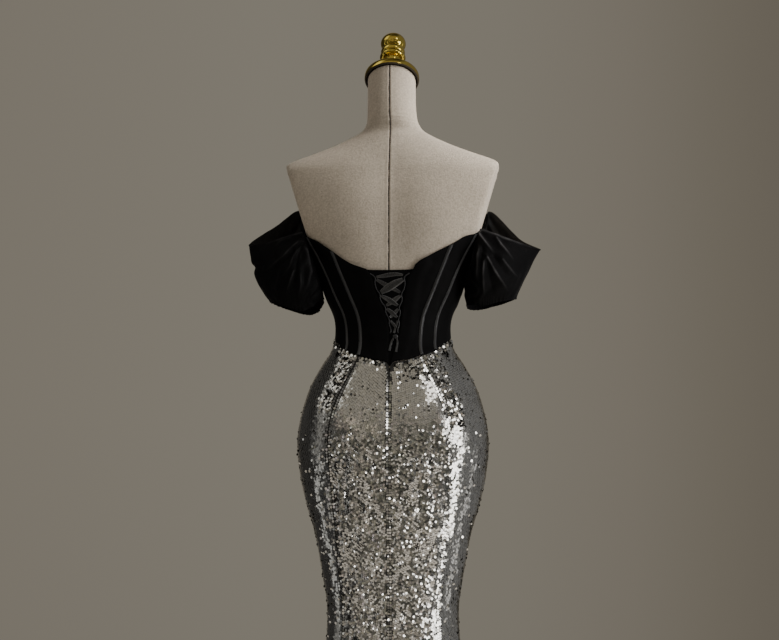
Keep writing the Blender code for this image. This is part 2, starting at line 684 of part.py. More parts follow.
def lacing(satin):
    """The ribbon, stretch by stretch, from the top loops down to its knot and its two free tails."""
    lace_strip("lace_top", loop_inner(-1, 0, True), loop_inner(1, 0, True), LACE_LOW, 7 * MM, satin)
    for row, over, wide in ((0, 1, 9 * MM), (1, -1, 9 * MM), (2, -1, 7 * MM)):
        for side, level, kind in ((over, LACE_HIGH, "over"), (-over, LACE_LOW, "under")):
            ends = loop_inner(side, row, False), loop_inner(-side, row + 1, True)
            lace_strip(f"lace_{row + 1}_{kind}", *ends, level, wide, satin)
    last = len(LOOP_HEIGHTS) - 2
    ends = loop_inner(-1, last, False), loop_inner(1, last + 1, True)
    lace_strip("lace_4_over", *ends, LACE_HIGH, 5 * MM, satin)
    ends = loop_inner(1, last, False), (KNOT[0] - 2.6 * MM, KNOT[1] + 7 * MM)
    lace_strip("lace_4_under", *ends, LACE_LOW, LACE_AT_LOOP, satin)
    knot = bmesh.new()
    bmesh.ops.create_uvsphere(knot, u_segments=10, v_segments=6, radius=1)
    place = Matrix.Translation(back_point(*KNOT, LOOP_LEVEL + LOOP_CORD + KNOT_SIZE[1] + 2 * SEAM))
    bmesh.ops.transform(knot, matrix=place @ Matrix.Diagonal((*KNOT_SIZE, 1)), verts=knot.verts)
    finish_mesh("lace_knot", knot, satin)
    lace_tail("lace_tail_left", [(6.0, 1.0822), (3.0, 1.078), (1.0, 1.070), (-0.4, 1.0615)], satin)
    lace_tail("lace_tail_right", [(11.6, 1.0822), (12.8, 1.076), (12.0, 1.068), (10.8, 1.0590)], satin)


def lace_tail(name, route, satin):
    """A free tail, hanging over the back panels from the knot; its route is (x in mm, z)."""
    half = TAIL_WIDE / 2
    level = CLOTH_GAP + LIFT + VELVET + 3 * SEAM
    inside = [[back_point(x * MM + side * half, z, level) for side in (1, -1)] for x, z in route]
    outside = [
        [back_point(x * MM + side * half, z, level + LACE_WALL) for side in (1, -1)] for x, z in route
    ]
    wall(name, inside, outside, satin)


# ---------------------------------------------------------------- the sleeves

# A sleeve is a tube round an arm that isn't there. Each row is a place round it, in millimetres as
# (outward from the middle of the body, forward, up), on its top edge, half way down and at its cuff.
Place = namedtuple("Place", "where top middle cuff")
RIGHT_SLEEVE = [
    Place("back", (157, -47, 1281), (161, -74, 1214), (160, -43, 1144)),
    Place("back outer", (212, -48, 1262), (210, -56, 1205), (200, -36, 1154)),
    Place("outer", (265, -2, 1250), (241, 2, 1206), (221, 0, 1161)),
    Place("front outer", (229, 42, 1276), (208, 60, 1220), (199, 38, 1158)),
    Place("front", (173, 57, 1330), (164, 76, 1236), (160, 46, 1148)),
    Place("front inner", (163, 34, 1266), (143, 46, 1206), (140, 30, 1146)),
    Place("inner", (153, 0, 1234), (133, 0, 1190), (132, 0, 1149)),
    Place("back inner", (155, -30, 1254), (134, -46, 1200), (137, -30, 1148)),
]
LEFT_SLEEVE = [
    Place("back", (154, -47, 1279), (160, -76, 1212), (158, -42, 1138)),
    Place("back outer", (205, -50, 1265), (208, -58, 1206), (198, -37, 1150)),
    Place("outer", (262, 0, 1264), (251, 2, 1208), (223, 0, 1159)),
    Place("front outer", (219, 44, 1305), (206, 60, 1226), (197, 40, 1151)),
    Place("front", (176, 57, 1335), (164, 78, 1236), (156, 46, 1140)),
    Place("front inner", (163, 34, 1266), (141, 48, 1206), (134, 30, 1150)),
    Place("inner", (153, 0, 1234), (131, 0, 1190), (125, 0, 1163)),
    Place("back inner", (155, -30, 1254), (131, -48, 1200), (129, -32, 1157)),
]
SLEEVE_COLUMNS = [7, 5, 5, 6, 4, 2, 3, 4]  # from each place to the next
SLEEVE_ROWS = 10

# The deepest folds fan out from where the sleeve is gathered to the bodice: a ridge's height and half
# width, and its route as (outward, up), all in millimetres.
Fold = namedtuple("Fold", "height width route")
RIGHT_BACK_FOLDS = [
    Fold(5.0, 6.0, [(156, 1274), (166, 1256), (184, 1234)]),
    Fold(4.5, 6.0, [(184, 1264), (198, 1244), (218, 1222)]),
    Fold(5.0, 6.0, [(157, 1240), (154, 1216), (152, 1186)]),
    Fold(4.0, 6.0, [(164, 1216), (162, 1190), (164, 1160)]),
    Fold(5.5, 7.0, [(172, 1226), (188, 1196), (210, 1166)]),
]
LEFT_BACK_FOLDS = [
    Fold(5.5, 6.5, [(168, 1250), (190, 1226), (214, 1212), (244, 1208)]),
    Fold(4.0, 6.0, [(172, 1236), (178, 1210), (196, 1188)]),
    Fold(4.0, 6.0, [(172, 1204), (178, 1186), (188, 1160)]),
    Fold(3.5, 6.0, [(160, 1198), (160, 1178), (166, 1156)]),
    Fold(5.0, 6.0, [(154, 1244), (144, 1214), (144, 1190), (154, 1166)]),
]
FRONT_FOLDS = [
    Fold(5.0, 6.5, [(176, 1318), (194, 1286), (214, 1262)]),
    Fold(5.0, 6.5, [(170, 1300), (182, 1256), (202, 1222)]),
    Fold(5.5, 7.0, [(166, 1288), (172, 1240), (184, 1196)]),
    Fold(4.5, 6.5, [(160, 1276), (158, 1230), (162, 1180)]),
]
FOLD_FACING = (8 * MM, 30 * MM)  # a fold rises from nothing at the sleeve's side to its height
SLEEVE_CLEAR = CLOTH_GAP + VELVET + 1.5 * MM  # of a sleeve's wall over the figure


def round_the_sleeve(places):
    """Points round a sleeve: (top, middle, cuff) for every column."""
    rails = [np.array([place.top, place.middle, place.cuff], float) * MM for place in places]
    columns = []
    for i, steps in enumerate(SLEEVE_COLUMNS):
        a, b, c, d = (rails[(i + k) % len(rails)] for k in (-1, 0, 1, 2))
        for t in np.arange(steps) / steps:
            columns.append(
                b + 0.5 * t * (c - a + t * (2 * a - 5 * b + 4 * c - d + t * (3 * (b - c) + d - a)))
            )
    return columns


def distance_to_route(x, z, route):
    """How far (x, z) is from a fold's route, in metres."""
    nearest = math.inf
    for (ax, az), (bx, bz) in zip(route, route[1:]):
        a, b = Vector((ax, az)) * MM, Vector((bx, bz)) * MM
        run, here = b - a, Vector((x, z)) - a
        share = min(1.0, max(0.0, here.dot(run) / run.length_squared))
        nearest = min(nearest, (here - run * share).length)
    return nearest


def fold_rise(point, back_folds):
    """How far the folds raise the sleeve at a point, given in the right sleeve's coordinates."""
    folds = back_folds if point.y < 0 else FRONT_FOLDS
    rise = 0.0
    for fold in folds:
        away = distance_to_route(point.x, point.z, fold.route) / (fold.width * MM)
        rise += fold.height * MM * math.exp(-(away**2))
    return rise * smoothstep(abs(point.y), *FOLD_FACING)


def clear_of_the_body(point, distance):
    """The point, moved out where it is nearer to the figure than the distance."""
    half_width, front, back, _ = section_at(point.z)
    depth = back if point.y < 0 else front
    guess = math.atan2(point.x / half_width, -point.y / depth)
    spread = math.radians(24)
    for _ in range(4):
        angles = [guess + spread * (k / 6 - 1) for k in range(13)]
        guess = min(angles, key=lambda a: (figure_point(a, point.z) - point).length)
        spread /= 5
    out = outward(figure_point, guess, point.z)
    near = (point - figure_point(guess, point.z)).dot(out)
    return point + out * (distance - near) if near < distance else point


def grid_normals(rows):
    """Outward directions on a tube's rows of points, which go round it one way, from the top down."""
    normals = []
    count = len(rows[0])
    for i, row in enumerate(rows):
        above, below = rows[max(0, i - 1)], rows[min(len(rows) - 1, i + 1)]
        normals.append([
            (row[(j + 1) % count] - row[j - 1]).cross(above[j] - below[j]).normalized() for j in range(count)
        ])
    return normals


def sleeve(side, places, back_folds, velvet):
    columns = round_the_sleeve(places)
    rows = []
    for share in even(SLEEVE_ROWS):
        weights = (1 - share) * (1 - 2 * share), 4 * share * (1 - share), share * (2 * share - 1)
        rows.append([Vector(sum(w * rail for w, rail in zip(weights, rails))) for rails in columns])
    normals = grid_normals(rows)
    outside = []
    for row, directions in zip(rows, normals):
        raised = [p + n * fold_rise(p, back_folds) for p, n in zip(row, directions)]
        outside.append([clear_of_the_body(p, SLEEVE_CLEAR) for p in raised])
    inside = [
        [p - n * VELVET for p, n in zip(row, directions)] for row, directions in zip(outside, normals)
    ]
    if SIDES[side] < 0:
        inside, outside = mirrored(inside), mirrored(outside)
    tube(f"sleeve_{side}", inside, outside, velvet)


# ---------------------------------------------------------------- the skirt

SKIRT_SHARES = [0.0, 0.08, 0.16, 0.24, 0.32, 0.40, 0.48, 0.56, 0.64, 0.71, 0.77, 0.82, 0.86, 0.895, 0.93]
SKIRT_SHARES += [0.965, 1.0]


def skirt_panel(left, right, columns):
    upper = edge_height(WAIST_EDGE, -WAIST_GAP / 2)
    grid = patch(skirt_point, left, right, level_edge(HEM), upper, columns, SKIRT_SHARES)
    return cloth(skirt_point, grid, skirt_gap, SEQUIN_CLOTH)


def skirt(sequins):
    back, front = seam_angle(SKIRT_BACK_SEAM), seam_angle(SKIRT_FRONT_SEAM)
    for side in SIDES:
        on_side("skirt_back", side, *skirt_panel(slit_angle, back, 6), sequins)
        on_side("skirt_side", side, *skirt_panel(back, front, 13), sequins)
    wall("skirt_front", *skirt_panel(front, over_the_front(SKIRT_FRONT_SEAM), 12), sequins)


SLIDER_SIZE = (4.2 * MM, 2.0 * MM, 7.0 * MM)
SLIDER_HEIGHT = 1.018


def zip_parts(black_cloth, black_metal):
    """The tape that shows in the slit, and the slider at the slit's foot."""
    half = angle_at(UNDERLAP / 2, 1.02)
    low, high = level_edge(ZIP_FOOT), level_edge(ZIP_TOP)
    grid = patch(figure_point, lambda z: -half, lambda z: half, low, high, 4, even(3))
    wall("zip_tape", *cloth(figure_point, grid, lambda a, z: CLOTH_GAP, INSERT_WALL), black_cloth)
    slider = bmesh.new()
    bmesh.ops.create_cube(slider, size=1)
    size = Matrix.Diagonal((*SLIDER_SIZE, 1))
    bmesh.ops.transform(slider, matrix=size, verts=slider.verts)
    bmesh.ops.bevel(slider, geom=slider.edges[:], offset=0.7 * MM, segments=2, affect="EDGES")
    level = skirt_gap(0, SLIDER_HEIGHT) + SEQUIN_CLOTH + SLIDER_SIZE[1] / 2 + 3 * SEAM
    place = Matrix.Translation(back_point(0, SLIDER_HEIGHT, level))
    bmesh.ops.transform(slider, matrix=place, verts=slider.verts)
    finish_mesh("zip_slider", slider, black_metal)


def build():
    linen = material_of("linen", (0.53, 0.48, 0.41), 0.9)
    brass = material_of("brass", (0.72, 0.53, 0.16), 0.2, 1.0)
    black_metal = material_of("black_metal", (0.03, 0.03, 0.03), 0.4, 0.6)
    velvet = material_of("velvet", (0.006, 0.006, 0.008), 0.85)
    satin = material_of("satin", (0.02, 0.02, 0.022), 0.35)
    sequins = material_of("sequins", (0.55, 0.54, 0.52), 0.25, 0.9)
    dress_form(linen, brass, black_metal)
    bodice(velvet)
    back_insert(velvet)
    boning_channels(satin)
    loops(satin)
    lacing(satin)
    sleeve("right", RIGHT_SLEEVE, RIGHT_BACK_FOLDS, velvet)
    sleeve("left", LEFT_SLEEVE, LEFT_BACK_FOLDS, velvet)
    skirt(sequins)
    zip_parts(satin, black_metal)


for thing in list(bpy.data.objects):
    bpy.data.objects.remove(thing)
PARTS = bpy.data.collections.new("evening_gown")
bpy.context.scene.collection.children.link(PARTS)
build()
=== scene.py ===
"""Looks of the evening gown on its dress form: finer cloth, sequins, lacing, materials, light and camera.

The cloth is worked out on one figure, as the solids are: a surface given by an angle round the body
(0 at the centre back, 90 degrees on the wearer's right) and a height. Metres, +Z up, back to -Y.
"""

import math
from collections import namedtuple

import bpy
import bmesh
import numpy as np
from mathutils import Matrix, Vector

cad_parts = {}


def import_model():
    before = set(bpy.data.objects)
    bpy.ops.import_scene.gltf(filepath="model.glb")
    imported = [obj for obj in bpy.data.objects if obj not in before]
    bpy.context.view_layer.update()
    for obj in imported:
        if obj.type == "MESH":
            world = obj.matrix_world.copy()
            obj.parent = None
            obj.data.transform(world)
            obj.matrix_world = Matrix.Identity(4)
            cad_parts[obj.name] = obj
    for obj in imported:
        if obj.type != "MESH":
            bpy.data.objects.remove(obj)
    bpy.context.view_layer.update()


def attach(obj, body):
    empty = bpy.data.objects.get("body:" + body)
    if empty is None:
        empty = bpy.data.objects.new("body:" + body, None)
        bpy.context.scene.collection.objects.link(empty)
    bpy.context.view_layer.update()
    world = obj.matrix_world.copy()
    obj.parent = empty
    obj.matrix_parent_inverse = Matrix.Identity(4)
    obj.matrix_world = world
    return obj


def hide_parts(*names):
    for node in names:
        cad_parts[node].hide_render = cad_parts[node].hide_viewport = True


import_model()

MM = 0.001

# ---------------------------------------------------------------- the figure

FIGURE = [  # z, half width, front, back, power
    (0.000, 0.331, 0.320, 0.345, 2.00), (0.080, 0.297, 0.284, 0.305, 2.00),
    (0.160, 0.258, 0.242, 0.260, 2.00), (0.240, 0.218, 0.197, 0.211, 2.00),
    (0.320, 0.181, 0.154, 0.165, 2.05), (0.400, 0.149, 0.119, 0.127, 2.05),
    (0.480, 0.126, 0.092, 0.098, 2.10), (0.550, 0.116, 0.080, 0.085, 2.10),
    (0.620, 0.114, 0.079, 0.085, 2.15), (0.690, 0.125, 0.082, 0.091, 2.20),
    (0.745, 0.136, 0.086, 0.099, 2.20), (0.800, 0.152, 0.090, 0.108, 2.20),
    (0.850, 0.163, 0.094, 0.115, 2.20), (0.905, 0.168, 0.096, 0.118, 2.20),
    (0.955, 0.161, 0.095, 0.112, 2.20), (1.000, 0.147, 0.092, 0.100, 2.20),
    (1.040, 0.126, 0.087, 0.085, 2.20), (1.070, 0.107, 0.083, 0.075, 2.20),
    (1.100, 0.101, 0.081, 0.070, 2.20), (1.130, 0.104, 0.084, 0.071, 2.25),
    (1.165, 0.119, 0.092, 0.076, 2.30), (1.200, 0.132, 0.101, 0.082, 2.40),
    (1.235, 0.150, 0.106, 0.087, 2.40), (1.270, 0.175, 0.105, 0.090, 2.30),
    (1.310, 0.202, 0.093, 0.091, 2.20), (1.350, 0.222, 0.074, 0.088, 2.20),
    (1.385, 0.228, 0.057, 0.081, 2.20), (1.400, 0.216, 0.051, 0.076, 2.15),
    (1.415, 0.181, 0.047, 0.070, 2.10), (1.432, 0.134, 0.044, 0.062, 2.00),
    (1.450, 0.091, 0.045, 0.053, 2.00), (1.468, 0.059, 0.048, 0.044, 2.00),
]
PLATES = [
    (1.050, 0.300), (1.120, 0.210), (1.165, 0.168), (1.200, 0.152), (1.235, 0.146), (1.270, 0.153),
    (1.310, 0.165), (1.350, 0.177), (1.385, 0.188), (1.400, 0.193), (1.415, 0.198), (1.468, 0.230),
]
PLATE_FOOT, PLATE_EDGE = 1.050, 7 * MM
BUST_ACROSS, BUST_HEIGHT, BUST_RISE, BUST_WIDTH, BUST_TALL = 0.082, 1.248, 0.020, 0.046, 0.050
NECK = [  # z, radius, depth, aside, centre, lean, and how far round the seam is turned
    (1.482, 0.0480, 0.0465, -0.0005, 0.003, 5, -0.041), (1.497, 0.0452, 0.0455, -0.0018, 0.006, 10, -0.040),
    (1.525, 0.0440, 0.0450, -0.0030, 0.013, 18, -0.032), (1.570, 0.0440, 0.0450, -0.0040, 0.027, 27, -0.036),
]
HEM, FORM_FOOT = 0.012, 0.800
CLOTH_GAP, VELVET, SEQUIN_CLOTH = 0.9 * MM, 1.8 * MM, 2.0 * MM
LIFT, LIFT_EASE, UNDERLAP = 2.0 * MM, 16 * MM, 14 * MM
SEAM_GAP = 0.15 * MM  # on each side of a seam, between the finished panels
SPLINE_STEPS = 24


def catmull(a, b, c, d, t):
    """The point t of the way from b to c on a smooth curve through all four."""
    return b + 0.5 * t * (c - a + t * (2 * a - 5 * b + 4 * c - d + t * (3 * (b - c) + d - a)))


def spline(rows, steps=SPLINE_STEPS):
    """A finer table through rows; steps is how many points follow each, or a number for each row."""
    table = np.array(rows, float)
    padded = np.concatenate([[2 * table[0] - table[1]], table, [2 * table[-1] - table[-2]]])
    points = []
    for i, count in enumerate(np.broadcast_to(steps, len(table) - 1)):
        points += [catmull(*padded[i : i + 4], t) for t in np.arange(count) / count]
    return np.array(points + [table[-1]])


def curve_through(rows):
    points = spline(rows)
    return lambda value: np.interp(value, points[:, 0], points[:, 1])


FIGURE_SPLINE = spline(FIGURE)
plate_at = curve_through(PLATES)


def section_at(z):
    return [np.interp(z, FIGURE_SPLINE[:, 0], FIGURE_SPLINE[:, k]) for k in range(1, 5)]


def smoothstep(value, low, high):
    t = np.clip((value - low) / (high - low), 0, 1)
    return t * t * (3 - 2 * t)


def figure(angle, z):
    """The figure's surface, for arrays of angles and heights."""
    half, front, back, power = section_at(z)
    sine, cosine = np.sin(angle), np.cos(angle)
    x = half * np.sign(sine) * np.abs(sine) ** (2 / power)
    limit = plate_at(z)
    flat = 0.5 * (np.abs(x) + limit - np.hypot(np.abs(x) - limit, PLATE_EDGE))
    x = np.where(z > PLATE_FOOT, np.sign(x) * flat, x)
    y = -np.where(cosine > 0, back, front) * np.sign(cosine) * np.abs(cosine) ** (2 / power)
    tall = np.exp(-0.5 * ((z - BUST_HEIGHT) / BUST_TALL) ** 2)
    wide = sum(np.exp(-0.5 * ((x - side * BUST_ACROSS) / BUST_WIDTH) ** 2) for side in (1, -1))
    y = y + np.where(cosine < 0, BUST_RISE * tall * wide * np.abs(cosine), 0)
    return np.stack([x, y, z + 0 * x], -1)


def skirt_surface(angle, z):
    point = figure(angle, z)
    share = np.maximum(0, (0.50 - z) / (0.50 - HEM))
    depth = 15 * MM * share**1.5 * (1 + 0.25 * np.cos(3 * angle + 0.6))
    grown = 1 + depth * np.cos(8 * angle) / np.hypot(point[..., 0], point[..., 1])
    return point * np.stack([grown, grown, 1 + 0 * grown], -1)


STEP_A, STEP_Z = math.radians(0.5), 1 * MM


def unit(v):
    return v / np.maximum(np.linalg.norm(v, axis=-1, keepdims=True), 1e-12)


def crosswise(surface, a, z):
    return surface(a + STEP_A, z) - surface(a - STEP_A, z)


def outward(surface, a, z):
    return unit(np.cross(crosswise(surface, a, z), surface(a, z + STEP_Z) - surface(a, z - STEP_Z)))


def arc_angle(surface, a, z, length):
    """The angle that a length along the surface spans there."""
    return 2 * STEP_A * length / np.linalg.norm(crosswise(surface, a, z), axis=-1)


def angle_at(x, z):
    half, _, _, power = section_at(z)
    return np.sign(x) * np.arcsin(np.minimum(1, np.abs(x) / half) ** (power / 2))


def ripple(x, y, z, scale, seed=0):
    """Smooth noise from a few sine waves, about -1 to 1."""
    r = np.random.default_rng(seed)
    total = 0
    for _ in range(6):
        k = r.normal(size=3)
        k *= r.uniform(0.6, 1.5) / np.linalg.norm(k) / scale
        total = total + np.sin(2 * np.pi * (k[0] * x + k[1] * y + k[2] * z) + r.uniform(0, 6.28))
    return total / 3


def ripple_on(p, scale, seed, stretch=(1, 1, 1)):
    """The same noise at points."""
    return ripple(*(p[..., k] * stretch[k] for k in range(3)), scale, seed)


# ---------------------------------------------------------------- seams and edges

BACK_SEAM = curve_through([
    (1.030, 25.0), (1.063, 26.5), (1.095, 29.0), (1.120, 30.5), (1.167, 34.4), (1.206, 37.4), (1.240, 38.5),
])
SIDE_BACK_SEAM = curve_through([
    (1.030, 42.5), (1.070, 44.0), (1.090, 46.8), (1.119, 49.5), (1.152, 52.0), (1.187, 55.0), (1.225, 57.0),
    (1.265, 57.5),
])
SIDE_SEAM = curve_through([(1.030, 88.0), (1.300, 90.0)])
FRONT_SEAM = curve_through([(1.030, 152.0), (1.120, 150.0), (1.200, 143.0), (1.250, 138.5), (1.330, 139.0)])
SKIRT_BACK_SEAM = curve_through([
    (0.000, 45.0), (0.600, 45.0), (0.730, 41.5), (0.830, 37.0), (0.930, 36.5), (0.967, 34.5), (0.995, 31.5),
    (1.023, 27.7), (1.055, 25.0),
])
SKIRT_FRONT_SEAM = curve_through([
    (0.000, 135.0), (0.600, 135.0), (0.850, 138.0), (0.950, 141.0), (1.090, 151.0),
])
WAIST_EDGE = curve_through([
    (0, 1.0330), (3, 1.0415), (11, 1.0445), (21, 1.0505), (33, 1.0565), (50, 1.0675), (64, 1.0790),
    (90, 1.0890), (120, 1.0885), (150, 1.0800), (180, 1.0700),
])
FRONT_TOP = [
    (66, 1.278), (78, 1.258), (90, 1.236), (102, 1.252), (114, 1.296), (124, 1.324), (138, 1.322),
    (158, 1.306), (180, 1.286),
]
LEFT_TOP = curve_through(
    [(0, 1.206), (12, 1.207), (18, 1.211), (28, 1.2215), (40, 1.2445), (48, 1.260), (56, 1.269)] + FRONT_TOP
)
RIGHT_TOP = curve_through(
    [(0, 1.206), (12, 1.210), (18, 1.222), (28, 1.2365), (40, 1.2535), (47, 1.266), (56, 1.272)] + FRONT_TOP
)
OPENING = curve_through([
    (1.030, 0.0010), (1.045, 0.0026), (1.062, 0.0048), (1.080, 0.0068), (1.101, 0.0094), (1.122, 0.0128),
    (1.143, 0.0178), (1.165, 0.0250), (1.180, 0.0285), (1.193, 0.0315), (1.203, 0.0385), (1.215, 0.0450),
])
# How far its middle is pulled towards the wearer's right, where the lacing is tighter.
OPENING_ASIDE = curve_through([
    (1.030, 0.0), (1.050, 0.0010), (1.070, 0.0038), (1.098, 0.0072), (1.122, 0.0060), (1.143, 0.0034),
    (1.165, 0.0010), (1.190, 0.0), (1.215, 0.0),
])
SIDES = {"left": -1, "right": 1}


def seam(curve):
    return lambda z: np.radians(curve(z))


def over_the_front(curve):
    return lambda z: 2 * math.pi - np.radians(curve(z))


def edge(curve, rise=0.0):
    return lambda angle: curve(180 - np.abs(180 - np.abs(np.degrees(angle)))) + rise


def opening_edge(side):
    return lambda z: angle_at(OPENING(z) + side * OPENING_ASIDE(z), z)


def insert_half(z):
    return OPENING(z) + OPENING_ASIDE(z) + UNDERLAP


def slit_angle(z):
    return angle_at(1.6 * MM * smoothstep(z, 1.010, 1.032) + 0.01 * MM, z)


def bodice_gap(a, z):
    beyond = np.abs(figure(a, z)[..., 0]) - insert_half(z) - 1 * MM
    return CLOTH_GAP + np.where(np.cos(a) > 0, LIFT * (1 - smoothstep(beyond, 0, LIFT_EASE)), 0)


def skirt_gap(a, z):
    beyond = np.abs(figure(a, z)[..., 0]) - UNDERLAP / 2 - 1 * MM
    lift = (1 - smoothstep(beyond, 0, LIFT_EASE)) * smoothstep(z, 0.949, 0.994)
    return CLOTH_GAP + np.where(np.cos(a) > 0, LIFT * lift, 0)


def patch(surface, left, right, lower, upper, columns, shares):
    """Angles and heights of a grid between two seams and two edges."""
    across = np.linspace(0, 1, columns + 1)[None, :]
    share = np.array(shares)[:, None]
    angle = np.broadcast_to(0.5 * (left(1.1) + right(1.1)), (len(shares), columns + 1))
    for _ in range(14):
        z = (1 - share) * lower(angle) + share * upper(angle)
        inset = arc_angle(surface, angle, z, SEAM_GAP)
        angle = (1 - across) * (left(z) + inset) + across * (right(z) - inset)
    return angle, z


# ---------------------------------------------------------------- meshes

def link(name, mesh, material):
    thing = bpy.data.objects.new(name, mesh)
    if material is not None:
        mesh.materials.append(material)
    bpy.context.scene.collection.objects.link(thing)
    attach(thing, "root")
    return thing


def grid_uv(points):
    """Lengths along the rows and columns of a grid, in metres, for weaves."""
    across = np.zeros(points.shape[:2])
    across[:, 1:] = np.cumsum(np.linalg.norm(np.diff(points, axis=1), axis=-1), axis=1)
    across -= across[:, across.shape[1] // 2][:, None]
    up = np.zeros(points.shape[:2])
    up[1:] = np.cumsum(np.linalg.norm(np.diff(points, axis=0), axis=-1), axis=0)
    return np.stack([across, up], -1)


def grid_quads(index):
    """The faces of a grid, from its points' numbers."""
    return np.stack([index[:-1, :-1], index[:-1, 1:], index[1:, 1:], index[1:, :-1]], -1).reshape(-1, 4)


def put_lengths(mesh, points, corners, copies=1):
    """Writes a grid's lengths as the mesh's UVs, for its faces' corners in order."""
    flat = np.vstack([grid_uv(points).reshape(-1, 2)] * copies)
    layer = mesh.uv_layers.new(name="lengths")
    layer.data.foreach_set("uv", flat[corners].astype(np.float32).reshape(-1))


def shell(name, inside, outside, material, closed=False):
    """A thin closed wall between two grids of points; closed joins each row's ends."""
    rows, columns = inside.shape[:2]
    n = rows * columns
    index = np.arange(n).reshape(rows, columns)
    if closed:
        index = np.hstack([index, index[:, :1]])
    outer = grid_quads(index)
    faces = [outer + n, outer[:, [0, 3, 2, 1]]]
    rims = [(index[0], True), (index[-1], False)]
    if not closed:
        rims += [(index[:, 0], False), (index[:, -1], True)]
    for line, flip in rims:
        p, q = line[:-1], line[1:]
        rim = np.stack([p, q, q + n, p + n], -1)
        faces.append(rim if flip else rim[:, ::-1])
    quads = np.vstack(faces)
    mesh = quad_mesh(name, np.vstack([inside.reshape(-1, 3), outside.reshape(-1, 3)]), quads)
    put_lengths(mesh, outside, quads.reshape(-1), copies=2)
    return link(name, mesh, material)


def quad_mesh(name, verts, quads, smooth=True):
    mesh = bpy.data.meshes.new(name)
    sides = quads.shape[1]
    mesh.vertices.add(len(verts))
    mesh.vertices.foreach_set("co", np.asarray(verts, np.float32).reshape(-1))
    mesh.loops.add(len(quads) * sides)
    mesh.loops.foreach_set("vertex_index", quads.reshape(-1).astype(np.int32))
    mesh.polygons.add(len(quads))
    mesh.polygons.foreach_set("loop_start", (np.arange(len(quads)) * sides).astype(np.int32))
    mesh.update(calc_edges=True)
    mesh.validate()
    if smooth:
        mesh.shade_smooth()
        mesh.set_sharp_from_angle(angle=math.radians(50))
    return mesh


def paint_highlight(thing, shares):
    """Marks a painted highlight at each point, from 0 to 1, which the velvet and satin paint paler."""
    layer = thing.data.attributes.new("painted_highlight", "FLOAT", "POINT")
    layer.data.foreach_set("value", np.clip(shares, 0, 1).astype(np.float32))


def sheet_of(surface, a, z, low, high):
    """Inner and outer points of cloth on a surface; low and high are distances out from it."""
    p, n = surface(a, z), outward(surface, a, z)
    return p + n * np.asarray(low)[..., None], p + n * np.asarray(high)[..., None]


def mirror(points, side):
    """The wearer's right side's points, or their mirror image on the left, ordered so faces turn out."""
    if side > 0:
        return points
    return (points * np.array([-1, 1, 1]))[:, ::-1]


def turned(name, profile, steps, material, matrix=None):
    """A turned piece, its profile as (radius, height) from the top down."""
    mesh = bpy.data.meshes.new(name)
    points = [(r, 0, h) for r, h in profile]
    mesh.from_pydata(points, [(i, i + 1) for i in range(len(points) - 1)], [])
    thing = bpy.data.objects.new(name, mesh)
    bpy.context.scene.collection.objects.link(thing)
    screw = thing.modifiers.new("turn", "SCREW")
    screw.steps = screw.render_steps = steps
    screw.use_merge_vertices = True
    screw.merge_threshold = 0.01 * MM
    screw.use_smooth_shade = True
    bpy.context.view_layer.update()
    made = bpy.data.meshes.new_from_object(thing.evaluated_get(bpy.context.evaluated_depsgraph_get()))
    made.name = name
    bpy.data.objects.remove(thing)
    if matrix is not None:
        made.transform(matrix)
    made.shade_smooth()
    made.set_sharp_from_angle(angle=math.radians(40))
    made.materials.clear()
    return link(name, made, material)


def mesh_of(name, shape):
    """A mesh from a bmesh, which is freed."""
    mesh = bpy.data.meshes.new(name)
    shape.to_mesh(mesh)
    shape.free()
    return mesh


def tube_along(name, points, radius, material, sides=10, radii=None):
    """A round cord through points, its ends rounded off; without a material, only its mesh."""
    points = np.asarray(points, float)
    tangents = unit(np.gradient(points, axis=0))
    side = unit(np.cross(tangents, np.array([0.0, -1.0, 0.0])))
    other = unit(np.cross(side, tangents))
    turn = np.arange(sides) * 2 * math.pi / sides
    size = np.full(len(points), radius) if radii is None else np.asarray(radii)
    ring = side[:, None] * np.cos(turn)[None, :, None] + other[:, None] * np.sin(turn)[None, :, None]
    rings = points[:, None] + ring * size[:, None, None]
    caps = []
    for end, inner in ((0, 1), (-1, -2)):
        direction = unit(points[end] - points[inner])
        caps.append(points[end] + ring[end] * size[end] * 0.6 + direction * size[end] * 0.55)
    rings = np.concatenate([caps[0][None], rings, caps[1][None]])
    index = np.arange(len(rings) * sides).reshape(len(rings), sides)
    faces = grid_quads(np.hstack([index, index[:, :1]])).tolist()
    faces += [index[0, ::-1].tolist(), index[-1].tolist()]
    mesh = bpy.data.meshes.new(name)
    mesh.from_pydata(rings.reshape(-1, 3).tolist(), [], faces)
    b = bmesh.new()
    b.from_mesh(mesh)
    bmesh.ops.recalc_face_normals(b, faces=b.faces[:])
    b.to_mesh(mesh)
    b.free()
    mesh.shade_smooth()
    return link(name, mesh, material) if material is not None else mesh


def joined(name, meshes, material):
    """Several meshes as one piece."""
    whole = bmesh.new()
    for mesh in meshes:
        whole.from_mesh(mesh)
    return link(name, mesh_of(name, whole), material)


# ---------------------------------------------------------------- materials

